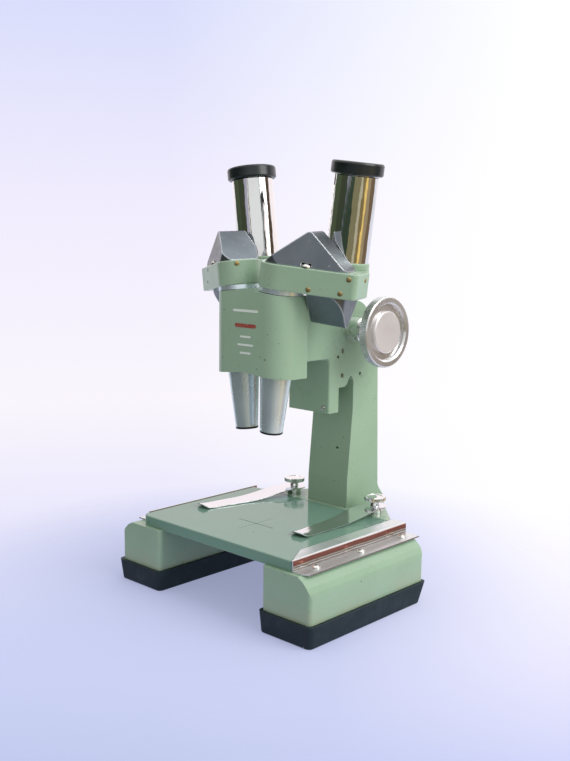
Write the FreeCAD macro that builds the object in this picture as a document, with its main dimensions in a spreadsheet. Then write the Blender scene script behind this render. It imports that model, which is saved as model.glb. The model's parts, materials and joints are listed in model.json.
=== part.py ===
import FreeCAD, Part
import math
import os
import re
import Sketcher

# Stereo microscope on a U-shaped stand, in millimetres.
# +Z is up, +X is the user's right and -Y is the user's side.
# Sub-parts are drawn with Y measured from the middle of the stage; fore_shift then moves
# them all, so that the origin is on the bench under the middle of the whole object.

Vector = FreeCAD.Vector
Rotation = FreeCAD.Rotation
Placement = FreeCAD.Placement

DIMENSIONS = [
    ("fore_shift", 31.1, "moves every sub-part forward, to centre the object on its origin"),
    # stand
    ("leg_inner", 42.3, "inner side of a leg"),
    ("leg_outer", 77.0, "outer side of a leg"),
    ("leg_front", -38.0, "front end of the legs"),
    ("leg_rear", 61.0, "rear end of the legs"),
    ("leg_top", 37.0, "top of the legs"),
    ("boot_top", 12.5, "upper rim of the rubber boots"),
    ("boot_wall", 2.7, "thickness of a boot's wall"),
    ("boot_floor", 3.0, "thickness of a boot's sole"),
    ("boot_rim", 1.5, "how far a boot's rim stands out from the leg"),
    ("bridge_front", 38.0, "front of the bridge between the legs"),
    ("bridge_under", 25.0, "underside of the bridge and of the rear deck"),
    ("deck_top", 43.0, "top of the rear deck, level with the stage"),
    ("deck_front", 60.2, "front edge of the rear deck"),
    ("deck_rear", 102.0, "rear edge of the rear deck"),
    ("deck_half", 53.9, "half the rear deck's width at its front"),
    ("tail_half", 17.0, "half the rear deck's width where its sides end"),
    ("tail_start", 98.0, "where the slanted sides of the rear deck end"),
    # stage
    ("stage_half", 61.6, "half the stage plate's width"),
    ("stage_front", -35.2, "front edge of the stage plate"),
    ("stage_rear", 60.0, "rear edge of the stage plate"),
    ("cross_arm", 14.0, "length of one arm of the engraved centre mark"),
    ("cross_half", 0.3, "half the width of the engraved line"),
    ("cross_depth", 0.35, "depth of the engraved line"),
    ("sheet_gauge", 0.8, "thickness of the edge rails' sheet"),
    ("rail_lip", 53.0, "inner edge of the right rail's upper lip"),
    ("rail_foot", 72.0, "outer edge of the rails' lower flange"),
    ("rail_rear", 63.0, "rear end of the rails"),
    ("rail_left_front", -29.2, "front end of the left rail"),
    ("rail_screw_line", 66.8, "distance of the rail screws from the middle"),
    ("rail_screw_pitch", 37.5, "distance between neighbouring rail screws"),
    ("rail_screw_first", -22.0, "place of the front rail screw"),
    ("rail_screw_head", 2.4, "radius of a rail screw's head"),
    ("rail_screw_shank", 1.5, "radius of a rail screw's shank"),
    # stage clips
    ("post_across", 33.5, "distance of a clip post from the middle"),
    ("post_back", 69.9, "distance of a clip post behind the stage mark"),
    ("post_height", 3.5, "height of a clip post's collar"),
    ("post_radius", 4.9, "radius of a clip post's collar"),
    ("post_bore", 2.05, "bore of the clip post"),
    ("clip_gauge", 0.6, "thickness of a clip's spring strip"),
    ("clip_length", 72.0, "length of a clip, from its post to its tip"),
    ("clip_width", 15.0, "width of a clip at its post"),
    ("clip_tip_width", 11.5, "width of a clip at its tip"),
    ("clip_hole", 2.1, "radius of the hole in a clip"),
    ("screw_shank", 2.0, "radius of a thumbscrew's shank"),
    ("screw_hub", 2.9, "radius of a thumbscrew's hub"),
    ("screw_disc", 6.6, "radius of a thumbscrew's knurled disc"),
    # column
    ("column_half", 16.0, "half the column's width"),
    ("foot_front", 64.0, "front of the column at its foot"),
    ("neck_front", 68.0, "front of the column's neck"),
    ("neck_back", 92.0, "back of the column's neck"),
    ("foot_back", 95.0, "back of the column above its toe"),
    ("toe_back", 101.0, "rear end of the column's toe"),
    ("guide_front", 53.6, "front face of the column's guide block"),
    ("guide_foot", 119.7, "lower end of the guide block"),
    ("pinion_back", 67.0, "distance of the pinion axis behind the stage mark"),
    ("pinion_height", 154.5, "height of the pinion axis"),
    ("lobe_radius", 17.7, "radius of the column's head about the pinion axis"),
    ("pinion_bore", 7.6, "radius of the bore for the pinion and its bushes"),
    ("pinion_pitch", 6.5, "pitch radius of the pinion"),
    ("bush_radius", 8.6, "radius of the bushes' flange"),
    ("bush_length", 10.0, "length of the bushes' flange"),
    ("shaft_radius", 4.0, "radius of the pinion shaft"),
    ("bolt_radius", 3.0, "radius of the bolts that hold the column"),
    # carriage
    ("arm_half", 16.5, "half the width of the carriage and its arm"),
    ("carriage_back", 53.4, "rear face of the carriage plate"),
    ("carriage_face", 44.6, "front face of the carriage plate"),
    ("carriage_foot", 104.8, "lower end of the carriage plate"),
    ("carriage_top", 172.0, "upper end of the carriage plate"),
    ("arm_under", 137.8, "underside of the arm"),
    ("arm_top", 169.5, "top of the arm"),
    ("neck_half", 6.0, "half the width of the tongue's neck"),
    ("tongue_half", 9.0, "half the width of the tongue's head"),
    ("tongue_start", 56.0, "front of the tongue's head"),
    ("tongue_end", 58.4, "rear of the tongue's head, where the rack lies"),
    ("slide_gap", 0.1, "running clearance of the tongue in its slot"),
    ("gib_gauge", 1.0, "thickness of the brass gib"),
    ("rack_half", 3.4, "half the rack's width"),
    ("rack_tips", 60.6, "tips of the rack's teeth"),
    # head body and objectives
    ("body_half", 28.0, "half the head body's width"),
    ("body_front", -11.0, "front face of the head body"),
    ("body_rear", 12.0, "rear face of the head body"),
    ("body_corner", 13.0, "radius of the head body's front corners"),
    ("body_under", 133.4, "underside of the head body at its middle"),
    ("body_top", 180.6, "top of the head body at its middle"),
    ("lens_tilt", 5.29, "tilt of an objective from the vertical, in degrees"),
    ("lens_across", 9.82, "distance of an objective's lower end from the middle"),
    ("lens_fore", 2.06, "distance of the objectives behind the stage mark"),
    ("lens_height", 98.31, "height of the objectives' lower end"),
    ("cone_length", 34.0, "length of an objective's cone"),
    ("cone_small", 6.57, "radius of a cone's lower end"),
    ("cone_large", 9.05, "radius of a cone's upper end"),
    ("cone_spigot", 6.5, "radius of the spigot in the head body"),
    # prism heads, drawn about the pivot, with their own X towards the outer end
    ("pivot_across", 18.3, "distance of a pivot from the middle"),
    ("pivot_fore", 2.2, "distance of the pivots behind the stage mark"),
    ("pivot_height", 195.2, "height of a pivot on the plate's top"),
    ("head_tilt", 7.4, "outward tilt of a prism head, in degrees"),
    ("head_swing", 19.0, "how far a prism head is turned about its pivot, in degrees"),
    ("prism_step", 26.4, "how far each prism carries the light sideways"),
    ("plate_thick", 14.0, "thickness of the prism plate"),
    ("pivot_lobe", 13.0, "radius of the plate about its pivot"),
    ("eye_lobe", 13.5, "radius of the plate about the eyepiece"),
    ("plate_skew", 11.0, "angle of the plate's front edge, in degrees"),
    ("plate_end", 45.0, "outer end of the plate"),
    ("plate_bend", 15.0, "where the outer end turns back towards the eyepiece"),
    ("inset", 1.5, "how far the upper cover stands back from the plate's edge"),
    ("pivot_flange", 12.6, "radius of the pivot ring"),
    ("pivot_flange_thick", 2.5, "thickness of the pivot ring"),
    ("pivot_hub", 9.0, "radius of the pivot ring's hub"),
    ("pivot_hub_length", 5.5, "length of the pivot ring's hub"),
    ("light_bore", 6.5, "radius of the light's way through the pivot"),
    ("gable_height", 20.0, "height of the upper cover"),
    ("gable_ridge", 15.0, "place of the upper cover's ridge"),
    ("gable_half", 23.5, "half the length of the upper cover's gable"),
    ("gable_rear", 12.7, "rear face of the upper cover"),
    ("gable_lean", 13.0, "backward lean of the upper cover's front, in degrees"),
    ("keel_depth", 19.5, "depth of the lower cover"),
    ("keel_middle", 11.0, "place of the lower cover's ridge"),
    ("keel_half", 15.0, "half the width of the lower cover"),
    ("keel_inner", 15.8, "inner end of the lower cover"),
    ("keel_outer", 37.0, "outer end of the lower cover"),
    # eyepieces
    ("collar_radius", 13.2, "radius of the collar under an eyepiece tube"),
    ("collar_height", 3.5, "height of that collar"),
    ("tube_radius", 12.5, "outer radius of an eyepiece tube"),
    ("tube_bore", 10.75, "bore of an eyepiece tube"),
    ("tube_top", 51.0, "upper end of an eyepiece tube, above the plate"),
    ("barrel_radius", 10.7, "radius of an eyepiece's barrel"),
    ("cup_radius", 14.8, "radius of an eyecup"),
    ("cup_base", 51.3, "lower face of an eyecup, above the plate"),
    ("cup_top", 58.4, "upper face of an eyecup, above the plate"),
    # focus knobs
    ("knob_radius", 21.1, "radius of a focus knob"),
    ("knob_back", 36.8, "inner face of a focus knob"),
    ("knob_face", 42.4, "outer face of a focus knob"),
    ("knob_hub", 6.5, "radius of a focus knob's hub"),
    ("knob_sink", 2.6, "depth of the channel in a knob's face"),
    ("inlay_radius", 12.6, "radius of the disc in a knob's face"),
]

doc = FreeCAD.newDocument("StereoMicroscope")
sheet = doc.addObject("Spreadsheet::Sheet", "Sizes")
for row, (word, number, meaning) in enumerate(DIMENSIONS, start=1):
    sheet.set("A%d" % row, str(number))
    sheet.setAlias("A%d" % row, word)
    sheet.set("B%d" % row, meaning)
doc.recompute()

MATHS_WORDS = ("sin", "cos", "tan", "sqrt")
PARTS = []


def bound(expression):
    """The expression with every size's name pointing at the sheet."""
    def point_at_sheet(match):
        word = match.group()
        return word if word in MATHS_WORDS else "Sizes." + word
    return re.sub(r"[a-z][a-z_]*", point_at_sheet, expression)


def size(expression):
    """The number that an expression stands for."""
    return float(sheet.evalExpression(bound(expression)))


def bind(thing, name, expression):
    """Tie one property of a document object to the sheet."""
    thing.setExpression(name, bound(expression))


# ---------------------------------------------------------------- sketches and features

def new_body(label):
    body = doc.addObject("PartDesign::Body", label)
    body.Label = label
    return body


def origin_plane(body, role):
    for plane in body.Origin.OriginFeatures:
        if plane.Role == role:
            return plane
    raise ValueError(role)


def add_loop(drawing, corners):
    """A closed outline of straight lines, each corner bound to the sheet."""
    first = drawing.GeometryCount
    points = [Vector(size(across), size(up), 0) for across, up in corners]
    count = len(points)
    for index in range(count):
        drawing.addGeometry(Part.LineSegment(points[index], points[(index + 1) % count]))
    for index in range(count):
        following = first + (index + 1) % count
        drawing.addConstraint(Sketcher.Constraint("Coincident", first + index, 2, following, 1))
    for index, corner in enumerate(corners):
        for kind, expression, number in (("DistanceX", corner[0], points[index].x),
                                         ("DistanceY", corner[1], points[index].y)):
            rule = Sketcher.Constraint(kind, -1, 1, first + index, 1, number)
            place = drawing.addConstraint(rule)
            drawing.setExpression("Constraints[%d]" % place, bound(expression))


def add_circle(drawing, across, up, radius):
    """A circle with its centre and radius bound to the sheet."""
    centre = Vector(size(across), size(up), 0)
    ring = drawing.addGeometry(Part.Circle(centre, Vector(0, 0, 1), size(radius)))
    for kind, expression, number in (("DistanceX", across, centre.x), ("DistanceY", up, centre.y)):
        place = drawing.addConstraint(Sketcher.Constraint(kind, -1, 1, ring, 3, number))
        drawing.setExpression("Constraints[%d]" % place, bound(expression))
    place = drawing.addConstraint(Sketcher.Constraint("Radius", ring, size(radius)))
    drawing.setExpression("Constraints[%d]" % place, bound(radius))


def sketch(body, role, level, loops=(), circles=()):
    """Outlines on one of the body's own origin planes, `level` along its normal."""
    drawing = body.newObject("Sketcher::SketchObject", "Outline")
    drawing.AttachmentSupport = [(origin_plane(body, role), "")]
    drawing.MapMode = "FlatFace"
    bind(drawing, "AttachmentOffset.Base.z", level)
    for corners in loops:
        add_loop(drawing, corners)
    for circle in circles:
        add_circle(drawing, *circle)
    return drawing


def extrude(body, kind, drawing, length, symmetric=False, backwards=False):
    feature = body.newObject(kind, "Block")
    feature.Profile = drawing
    bind(feature, "Length", length)
    feature.Midplane = symmetric
    feature.Reversed = backwards
    doc.recompute()
    return feature


def pad(body, role, level, length, loops=(), circles=(), symmetric=False):
    """Add material. It grows towards +X, +Y or +Z from its level, or both ways from it."""
    backwards = role == "XZ_Plane"
    drawing = sketch(body, role, along_normal(role, level), loops, circles)
    return extrude(body, "PartDesign::Pad", drawing, length, symmetric, backwards)


def pocket(body, role, level, length, loops=(), circles=(), symmetric=False):
    """Take material away, in the same directions as pad."""
    before = body.Shape.Volume
    backwards = role != "XZ_Plane"
    drawing = sketch(body, role, along_normal(role, level), loops, circles)
    feature = extrude(body, "PartDesign::Pocket", drawing, length, symmetric, backwards)
    if body.Shape.Volume >= before:
        raise RuntimeError("a pocket in %s cuts nothing" % body.Label)
    return feature


def along_normal(role, level):
    """The normal of the upright plane across the object points to -Y."""
    return "-(%s)" % level if role == "XZ_Plane" else level


def turn(body, corners):
    """A full turn about the body's own Z of an outline of (radius, height) corners."""
    drawing = sketch(body, "XZ_Plane", "0", [corners])
    feature = body.newObject("PartDesign::Revolution", "Turning")
    feature.Profile = drawing
    feature.ReferenceAxis = (drawing, ["V_Axis"])
    feature.Angle = 360
    doc.recompute()
    return feature


def cavity(body, lower, upper):
    """A hollow with straight sides between two outlines, each (height, corners)."""
    feature = body.newObject("PartDesign::SubtractiveLoft", "Hollow")
    feature.Profile = sketch(body, "XY_Plane", lower[0], [lower[1]])
    feature.Sections = [sketch(body, "XY_Plane", upper[0], [upper[1]])]
    feature.Ruled = True
    doc.recompute()
    return feature


def tapered_block(body, height, lower, upper):
    """A block with flat sloping sides; lower and upper are (left, right, front, rear)."""
    block = body.newObject("PartDesign::AdditiveWedge", "Taper")
    block.AttachmentSupport = [(origin_plane(body, "XY_Plane"), "")]
    block.MapMode = "FlatFace"
    block.AttachmentOffset = Placement(Vector(), Rotation(Vector(1, 0, 0), 90))
    bind(block, "Ymin", "0")
    bind(block, "Ymax", height)
    for name, expression in (("Xmin", lower[0]), ("Xmax", lower[1]), ("X2min", upper[0]),
                             ("X2max", upper[1]), ("Zmin", "-(%s)" % lower[3]),
                             ("Zmax", "-(%s)" % lower[2]), ("Z2min", "-(%s)" % upper[3]),
                             ("Z2max", "-(%s)" % upper[2])):
        bind(block, name, expression)
    doc.recompute()
    return block


def shave(body, place):
    """Cut away whatever lies on the -Y side of the placement's own upright plane."""
    block = body.newObject("PartDesign::SubtractiveBox", "Shaving")
    block.AttachmentSupport = [(origin_plane(body, "XY_Plane"), "")]
    block.MapMode = "FlatFace"
    reach = 80
    block.AttachmentOffset = place.multiply(Placement(Vector(-reach, -reach, -reach), Rotation()))
    block.Length = 2 * reach
    block.Width = reach
    block.Height = 2 * reach
    doc.recompute()


def drill(body, radius, depth, place):
    """A round hole whose mouth is at `place`, going along that placement's +Z."""
    before = body.Shape.Volume
    hole = body.newObject("PartDesign::SubtractiveCylinder", "Bore")
    hole.AttachmentSupport = [(origin_plane(body, "XY_Plane"), "")]
    hole.MapMode = "FlatFace"
    hole.AttachmentOffset = place
    bind(hole, "Radius", radius)
    bind(hole, "Height", depth)
    doc.recompute()
    if body.Shape.Volume >= before:
        raise RuntimeError("a bore in %s cuts nothing" % body.Label)


def soften(body, kind, amount, wanted):
    """Round or bevel the edges that `wanted` picks out."""
    names = []
    for index, edge in enumerate(body.Shape.Edges, start=1):
        if wanted(edge):
            names.append("Edge%d" % index)
    if not names:
        raise RuntimeError("no edge to soften in %s" % body.Label)
    base = body.Tip
    feature = body.newObject("PartDesign::" + kind, kind)
    feature.Base = (base, names)
    bind(feature, "Radius" if kind == "Fillet" else "Size", amount)
    doc.recompute()
    if "Invalid" in feature.State or feature.Shape.isNull():
        raise RuntimeError("edges of %s could not be softened by %s" % (body.Label, amount))
    return feature


def edge_ends(edge):
    return [vertex.Point for vertex in edge.Vertexes]


def upright_at(*places):
    """Picks straight vertical edges over any of the (x, y) places."""
    def wanted(edge):
        ends = edge_ends(edge)
        if len(ends) < 2 or abs(ends[0].z - ends[1].z) < 0.5:
            return False
        return any(math.hypot(ends[0].x - x, ends[0].y - y) < 0.2 for x, y in places)
    return wanted


def across_at(*places):
    """Picks straight edges along X that pass through any of the (y, z) places."""
    def wanted(edge):
        ends = edge_ends(edge)
        if len(ends) < 2 or abs(ends[0].x - ends[1].x) < 0.5:
            return False
        return any(math.hypot(ends[0].y - y, ends[0].z - z) < 0.2 for y, z in places)
    return wanted


def level_edges(height):
    """Picks the edges that lie wholly at one height."""
    def wanted(edge):
        box = edge.BoundBox
        return abs(box.ZMin - height) < 0.01 and abs(box.ZMax - height) < 0.01
    return wanted


# ---------------------------------------------------------------- places and copies

def settle(thing, place):
    """Move a sub-part from its own frame to its place in the whole."""
    thing.Placement = Placement(Vector(0, -size("fore_shift"), 0), Rotation()).multiply(place)


def keep(thing, label, place=Placement()):
    """Give a sub-part its label and its place, and list it for writing out."""
    thing.Label = label
    settle(thing, place)
    PARTS.append(thing)


def mirrored(source, label):
    """The left-hand copy of a right-hand sub-part."""
    copy = doc.addObject("Part::Mirroring", label)
    copy.Source = source
    copy.Normal = Vector(1, 0, 0)
    copy.Base = Vector(0, 0, 0)
    copy.Label = label
    PARTS.append(copy)


def keep_pair(thing, name, place):
    """A sub-part on the right and its mirror image on the left."""
    keep(thing, name + "_right", place)
    mirrored(thing, name + "_left")


def keep_side(thing, name, side, place):
    """A right-hand sub-part, or only its mirror image on the left."""
    if side == "right":
        keep(thing, name + "_right", place)
    else:
        settle(thing, place)
        mirrored(thing, name + "_left")


def feature_of(label, shape):
    thing = doc.addObject("Part::Feature", label)
    thing.Shape = shape
    return thing


def shaped(label, shape, place=Placement()):
    """A sub-part whose shape comes from Part's own functions."""
    keep(feature_of(label, shape), label, place)


def toothed_disc(tip_radius, depth, teeth, thickness):
    """A disc with fine V-shaped teeth round its rim, standing on the XY plane."""
    points = []
    for index in range(2 * teeth):
        radius = tip_radius if index % 2 == 0 else tip_radius - depth
        angle = math.pi * index / teeth
        points.append(Vector(radius * math.cos(angle), radius * math.sin(angle), 0))
    outline = Part.makePolygon(points + points[:1])
    return Part.Face(outline).extrude(Vector(0, 0, thickness))


def slotted_screw(head_radius, head_height, shank_radius, shank_length, slot=0.7):
    """A round-headed screw: its head stands on the XY plane and its shank goes down."""
    edge = head_height * 0.35
    profile = Part.Wire([
        Part.LineSegment(Vector(0, 0, -shank_length), Vector(shank_radius, 0, -shank_length)).toShape(),
        Part.LineSegment(Vector(shank_radius, 0, -shank_length), Vector(shank_radius, 0, 0)).toShape(),
        Part.LineSegment(Vector(shank_radius, 0, 0), Vector(head_radius, 0, 0)).toShape(),
        Part.LineSegment(Vector(head_radius, 0, 0), Vector(head_radius, 0, edge)).toShape(),
        Part.Arc(Vector(head_radius, 0, edge),
                 Vector(head_radius * 0.62, 0, edge + (head_height - edge) * 0.72),
                 Vector(0, 0, head_height)).toShape(),
        Part.LineSegment(Vector(0, 0, head_height), Vector(0, 0, -shank_length)).toShape(),
    ])
    screw = Part.Face(profile).revolve(Vector(), Vector(0, 0, 1), 360)
    slot_box = Part.makeBox(2.2 * head_radius, slot, head_height,
                            Vector(-1.1 * head_radius, -slot / 2, head_height * 0.45))
    return screw.cut(slot_box)


def placed(shape, place):
    copy = shape.copy()
    copy.Placement = place
    return copy


def set_of(shape, places):
    """One shape repeated at several places."""
    return Part.makeCompound([placed(shape, place) for place in places])


HEAD_TURN = Rotation(Vector(0, 1, 0), size("head_tilt")).multiply(
    Rotation(Vector(0, 0, 1), size("head_swing")))
HEAD_PLACE = Placement(Vector(size("pivot_across"), size("pivot_fore"), size("pivot_height")), HEAD_TURN)
EYE_PLACE = HEAD_PLACE.multiply(Placement(Vector(size("prism_step"), size("prism_step"), 0), Rotation()))
LENS_PLACE = Placement(Vector(size("lens_across"), size("lens_fore"), size("lens_height")),
                       Rotation(Vector(0, 1, 0), size("lens_tilt")))
PINION_PLACE = Placement(Vector(0, size("pinion_back"), size("pinion_height")),
                         Rotation(Vector(0, 1, 0), 90))
POST_PLACE = Placement(Vector(size("post_across"), size("post_back"), size("deck_top")), Rotation())
CARRIAGE_SCREW_PLACE = Placement(Vector(12, size("carriage_face"), 108), Rotation(Vector(1, 0, 0), -90))
DOWN = Rotation(Vector(1, 0, 0), 180)


def rail_screw_places():
    """Seats of the six rail screws, on the rails' lower flanges."""
    places = []
    for side in (-1, 1):
        for index in range(3):
            forward = size("rail_screw_first") + index * size("rail_screw_pitch")
            seat = Vector(side * size("rail_screw_line"), forward, size("leg_top + sheet_gauge"))
            places.append(Placement(seat, Rotation(Vector(0, 0, 1), 40 * index + 25 * side)))
    return places


RAIL_SCREW_DEPTH = "8"
COLUMN_BOLT_LINE = (74.0, 92.0)
GIB_SCREW_LINE = 57.2
GIB_SCREW_HEIGHTS = (127.0, 142.0)


# ---------------------------------------------------------------- stand

def make_base_casting():
    """Two legs joined by a bridge under the stage and by the deck that carries the column."""
    body = new_body("base_casting")
    pad(body, "XY_Plane", "bridge_under", "deck_top - bridge_under", [[
        ("-deck_half", "deck_front"), ("deck_half", "deck_front"), ("tail_half", "tail_start"),
        ("tail_half", "deck_rear"), ("-tail_half", "deck_rear"), ("-tail_half", "tail_start")]])
    pad(body, "XY_Plane", "bridge_under", "leg_top - bridge_under", [[
        ("-leg_inner - 3", "bridge_front"), ("leg_inner + 3", "bridge_front"),
        ("leg_inner + 3", "deck_front + 1"), ("-leg_inner - 3", "deck_front + 1")]])
    for side in ("", "-"):
        profile = [("leg_inner", "boot_top"), ("leg_inner", "leg_top"), ("leg_outer - 9", "leg_top"),
                   ("leg_outer - 5.5", "leg_top - 1.9"), ("leg_outer - 2.4", "leg_top - 4.9"),
                   ("leg_outer - 0.7", "leg_top - 7.8"), ("leg_outer", "leg_top - 10.5"),
                   ("leg_outer", "boot_top")]
        outline = [("%s(%s)" % (side, across), up) for across, up in profile]
        pad(body, "XZ_Plane", "leg_front", "leg_rear - leg_front", [outline])
        inner = "%s(leg_inner + boot_wall)" % side
        outer = "%s(leg_outer - boot_wall)" % side
        pad(body, "XY_Plane", "boot_floor", "boot_top - boot_floor", [[
            (inner, "leg_front + boot_wall"), (outer, "leg_front + boot_wall"),
            (outer, "leg_rear - 2 * boot_wall"), (inner, "leg_rear - 2 * boot_wall")]])
    soften(body, "Fillet", "5", upright_at((size("tail_half"), size("tail_start")),
                                           (-size("tail_half"), size("tail_start"))))
    soften(body, "Fillet", "1.6", upright_at((size("tail_half"), size("deck_rear")),
                                           (-size("tail_half"), size("deck_rear"))))
    ends = [(side * size(across), size(along)) for side in (-1, 1)
            for across in ("leg_inner", "leg_outer") for along in ("leg_front", "leg_rear")]
    soften(body, "Fillet", "2.5", upright_at(*ends))
    for seat in rail_screw_places():
        mouth = seat.Base - Vector(0, 0, size("sheet_gauge"))
        drill(body, "rail_screw_shank", RAIL_SCREW_DEPTH + " - sheet_gauge", Placement(mouth, DOWN))
    for side in (-1, 1):
        mouth = Vector(side * size("post_across"), size("post_back"), size("deck_top"))
        drill(body, "post_bore", "8", Placement(mouth, DOWN))
    for along in COLUMN_BOLT_LINE:
        mouth = Vector(0, along, size("bridge_under"))
        drill(body, "bolt_radius", "deck_top - bridge_under", Placement(mouth, Rotation()))
        drill(body, "bolt_radius + 2.2", "7", Placement(mouth, Rotation()))
    keep(body, "base_casting")


def make_boots():
    """Soft rubber boots that the legs stand in."""
    body = new_body("boot_right")
    tapered_block(body, "boot_top",
                  ("leg_inner - 0.9", "leg_outer + 0.7", "leg_front - 0.6", "leg_rear - 3.3"),
                  ("leg_inner - boot_rim", "leg_outer + boot_rim + 0.5",
                   "leg_front - boot_rim - 0.3", "leg_rear + boot_rim - 0.3"))
    soften(body, "Fillet", "3.2", lambda edge: edge.BoundBox.ZLength > 5)
    soften(body, "Fillet", "1.2", level_edges(0.0))
    pocket(body, "XY_Plane", "boot_floor", "boot_top", [[
        ("leg_inner + boot_wall", "leg_front + boot_wall"),
        ("leg_outer - boot_wall", "leg_front + boot_wall"),
        ("leg_outer - boot_wall", "leg_rear - 2 * boot_wall"),
        ("leg_inner + boot_wall", "leg_rear - 2 * boot_wall")]])
    keep_pair(body, "boot", Placement())


def make_stage_plate():
    body = new_body("stage_plate")
    pad(body, "XY_Plane", "leg_top", "deck_top - leg_top", [[
        ("-stage_half", "stage_front"), ("stage_half", "stage_front"),
        ("stage_half", "stage_rear"), ("-stage_half", "stage_rear")]])
    half = size("stage_half")
    front = size("stage_front")
    rear = size("stage_rear")
    soften(body, "Fillet", "5", upright_at((-half, front)))
    soften(body, "Fillet", "2", upright_at((half, front), (half, rear), (-half, rear)))
    soften(body, "Chamfer", "0.4", level_edges(size("deck_top")))
    pocket(body, "XY_Plane", "deck_top - cross_depth", "2", [[
        ("-cross_arm", "-cross_half"), ("-cross_half", "-cross_half"), ("-cross_half", "-cross_arm"),
        ("cross_half", "-cross_arm"), ("cross_half", "-cross_half"), ("cross_arm", "-cross_half"),
        ("cross_arm", "cross_half"), ("cross_half", "cross_half"), ("cross_half", "cross_arm"),
        ("-cross_half", "cross_arm"), ("-cross_half", "cross_half"), ("-cross_arm", "cross_half")]])
    keep(body, "stage_plate")


def drill_rail(body, side):
    for seat in rail_screw_places():
        if seat.Base.x * side > 0:
            drill(body, "rail_screw_shank", "sheet_gauge * 2", Placement(seat.Base, DOWN))


def make_rail_right():
    """A folded strip: a lip on the stage, a web down its side and a flange on the leg."""
    body = new_body("rail_right")
    pad(body, "XZ_Plane", "stage_front", "rail_rear - stage_front", [[
        ("rail_lip", "deck_top"), ("rail_lip", "deck_top + sheet_gauge"),
        ("stage_half + sheet_gauge", "deck_top + sheet_gauge"),
        ("stage_half + sheet_gauge", "leg_top + sheet_gauge"),
        ("rail_foot", "leg_top + sheet_gauge"), ("rail_foot", "leg_top"),
        ("stage_half", "leg_top"), ("stage_half", "deck_top")]])
    bend = size("stage_half + sheet_gauge")
    top = size("deck_top + sheet_gauge")
    soften(body, "Fillet", "1.4", lambda edge: (
        edge.BoundBox.YLength > 50 and abs(edge.BoundBox.XMin - bend) < 0.01
        and abs(edge.BoundBox.ZMin - top) < 0.01))
    pocket(body, "XY_Plane", "deck_top - 0.5", "3", [[
        ("rail_lip - 1", "stage_front - 1"), ("stage_half", "stage_front - 1"),
        ("stage_half", "stage_front + 1"), ("rail_lip - 0.01", "stage_front + 16"),
        ("rail_lip - 1", "stage_front + 16")]])
    pocket(body, "XY_Plane", "leg_top - 1", "3", [[
        ("rail_foot - 4.5", "stage_front - 1"), ("rail_foot + 1", "stage_front - 1"),
        ("rail_foot + 1", "stage_front + 3.4"), ("rail_foot - 0.2", "stage_front + 2.4"),
        ("rail_foot - 4.5", "stage_front - 0.3")]])
    drill_rail(body, 1)
    keep(body, "rail_right")


def make_rail_left():
    """The left strip is shorter and has no lip: its web ends just above the stage."""
    body = new_body("rail_left")
    pad(body, "XZ_Plane", "rail_left_front", "rail_rear - rail_left_front", [[
        ("-stage_half", "leg_top"), ("-rail_foot", "leg_top"),
        ("-rail_foot", "leg_top + sheet_gauge"),
        ("-stage_half - sheet_gauge", "leg_top + sheet_gauge"),
        ("-stage_half - sheet_gauge", "deck_top + 0.4"), ("-stage_half", "deck_top + 0.4")]])
    drill_rail(body, -1)
    keep(body, "rail_left")


def make_rail_screws():
    screw = slotted_screw(size("rail_screw_head"), 1.7, size("rail_screw_shank"),
                          float(RAIL_SCREW_DEPTH))
    shaped("rail_screws", set_of(screw, rail_screw_places()))


def make_clip_posts():
    body = new_body("clip_collar_right")
    turn(body, [("post_bore", "0"), ("post_radius", "0"), ("post_radius", "post_height - 0.5"),
                ("post_radius - 0.5", "post_height"), ("post_bore", "post_height")])
    keep_pair(body, "clip_collar", POST_PLACE)


CLIP_REST_TURN = {"right": 0.8, "left": -11.2}


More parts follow.
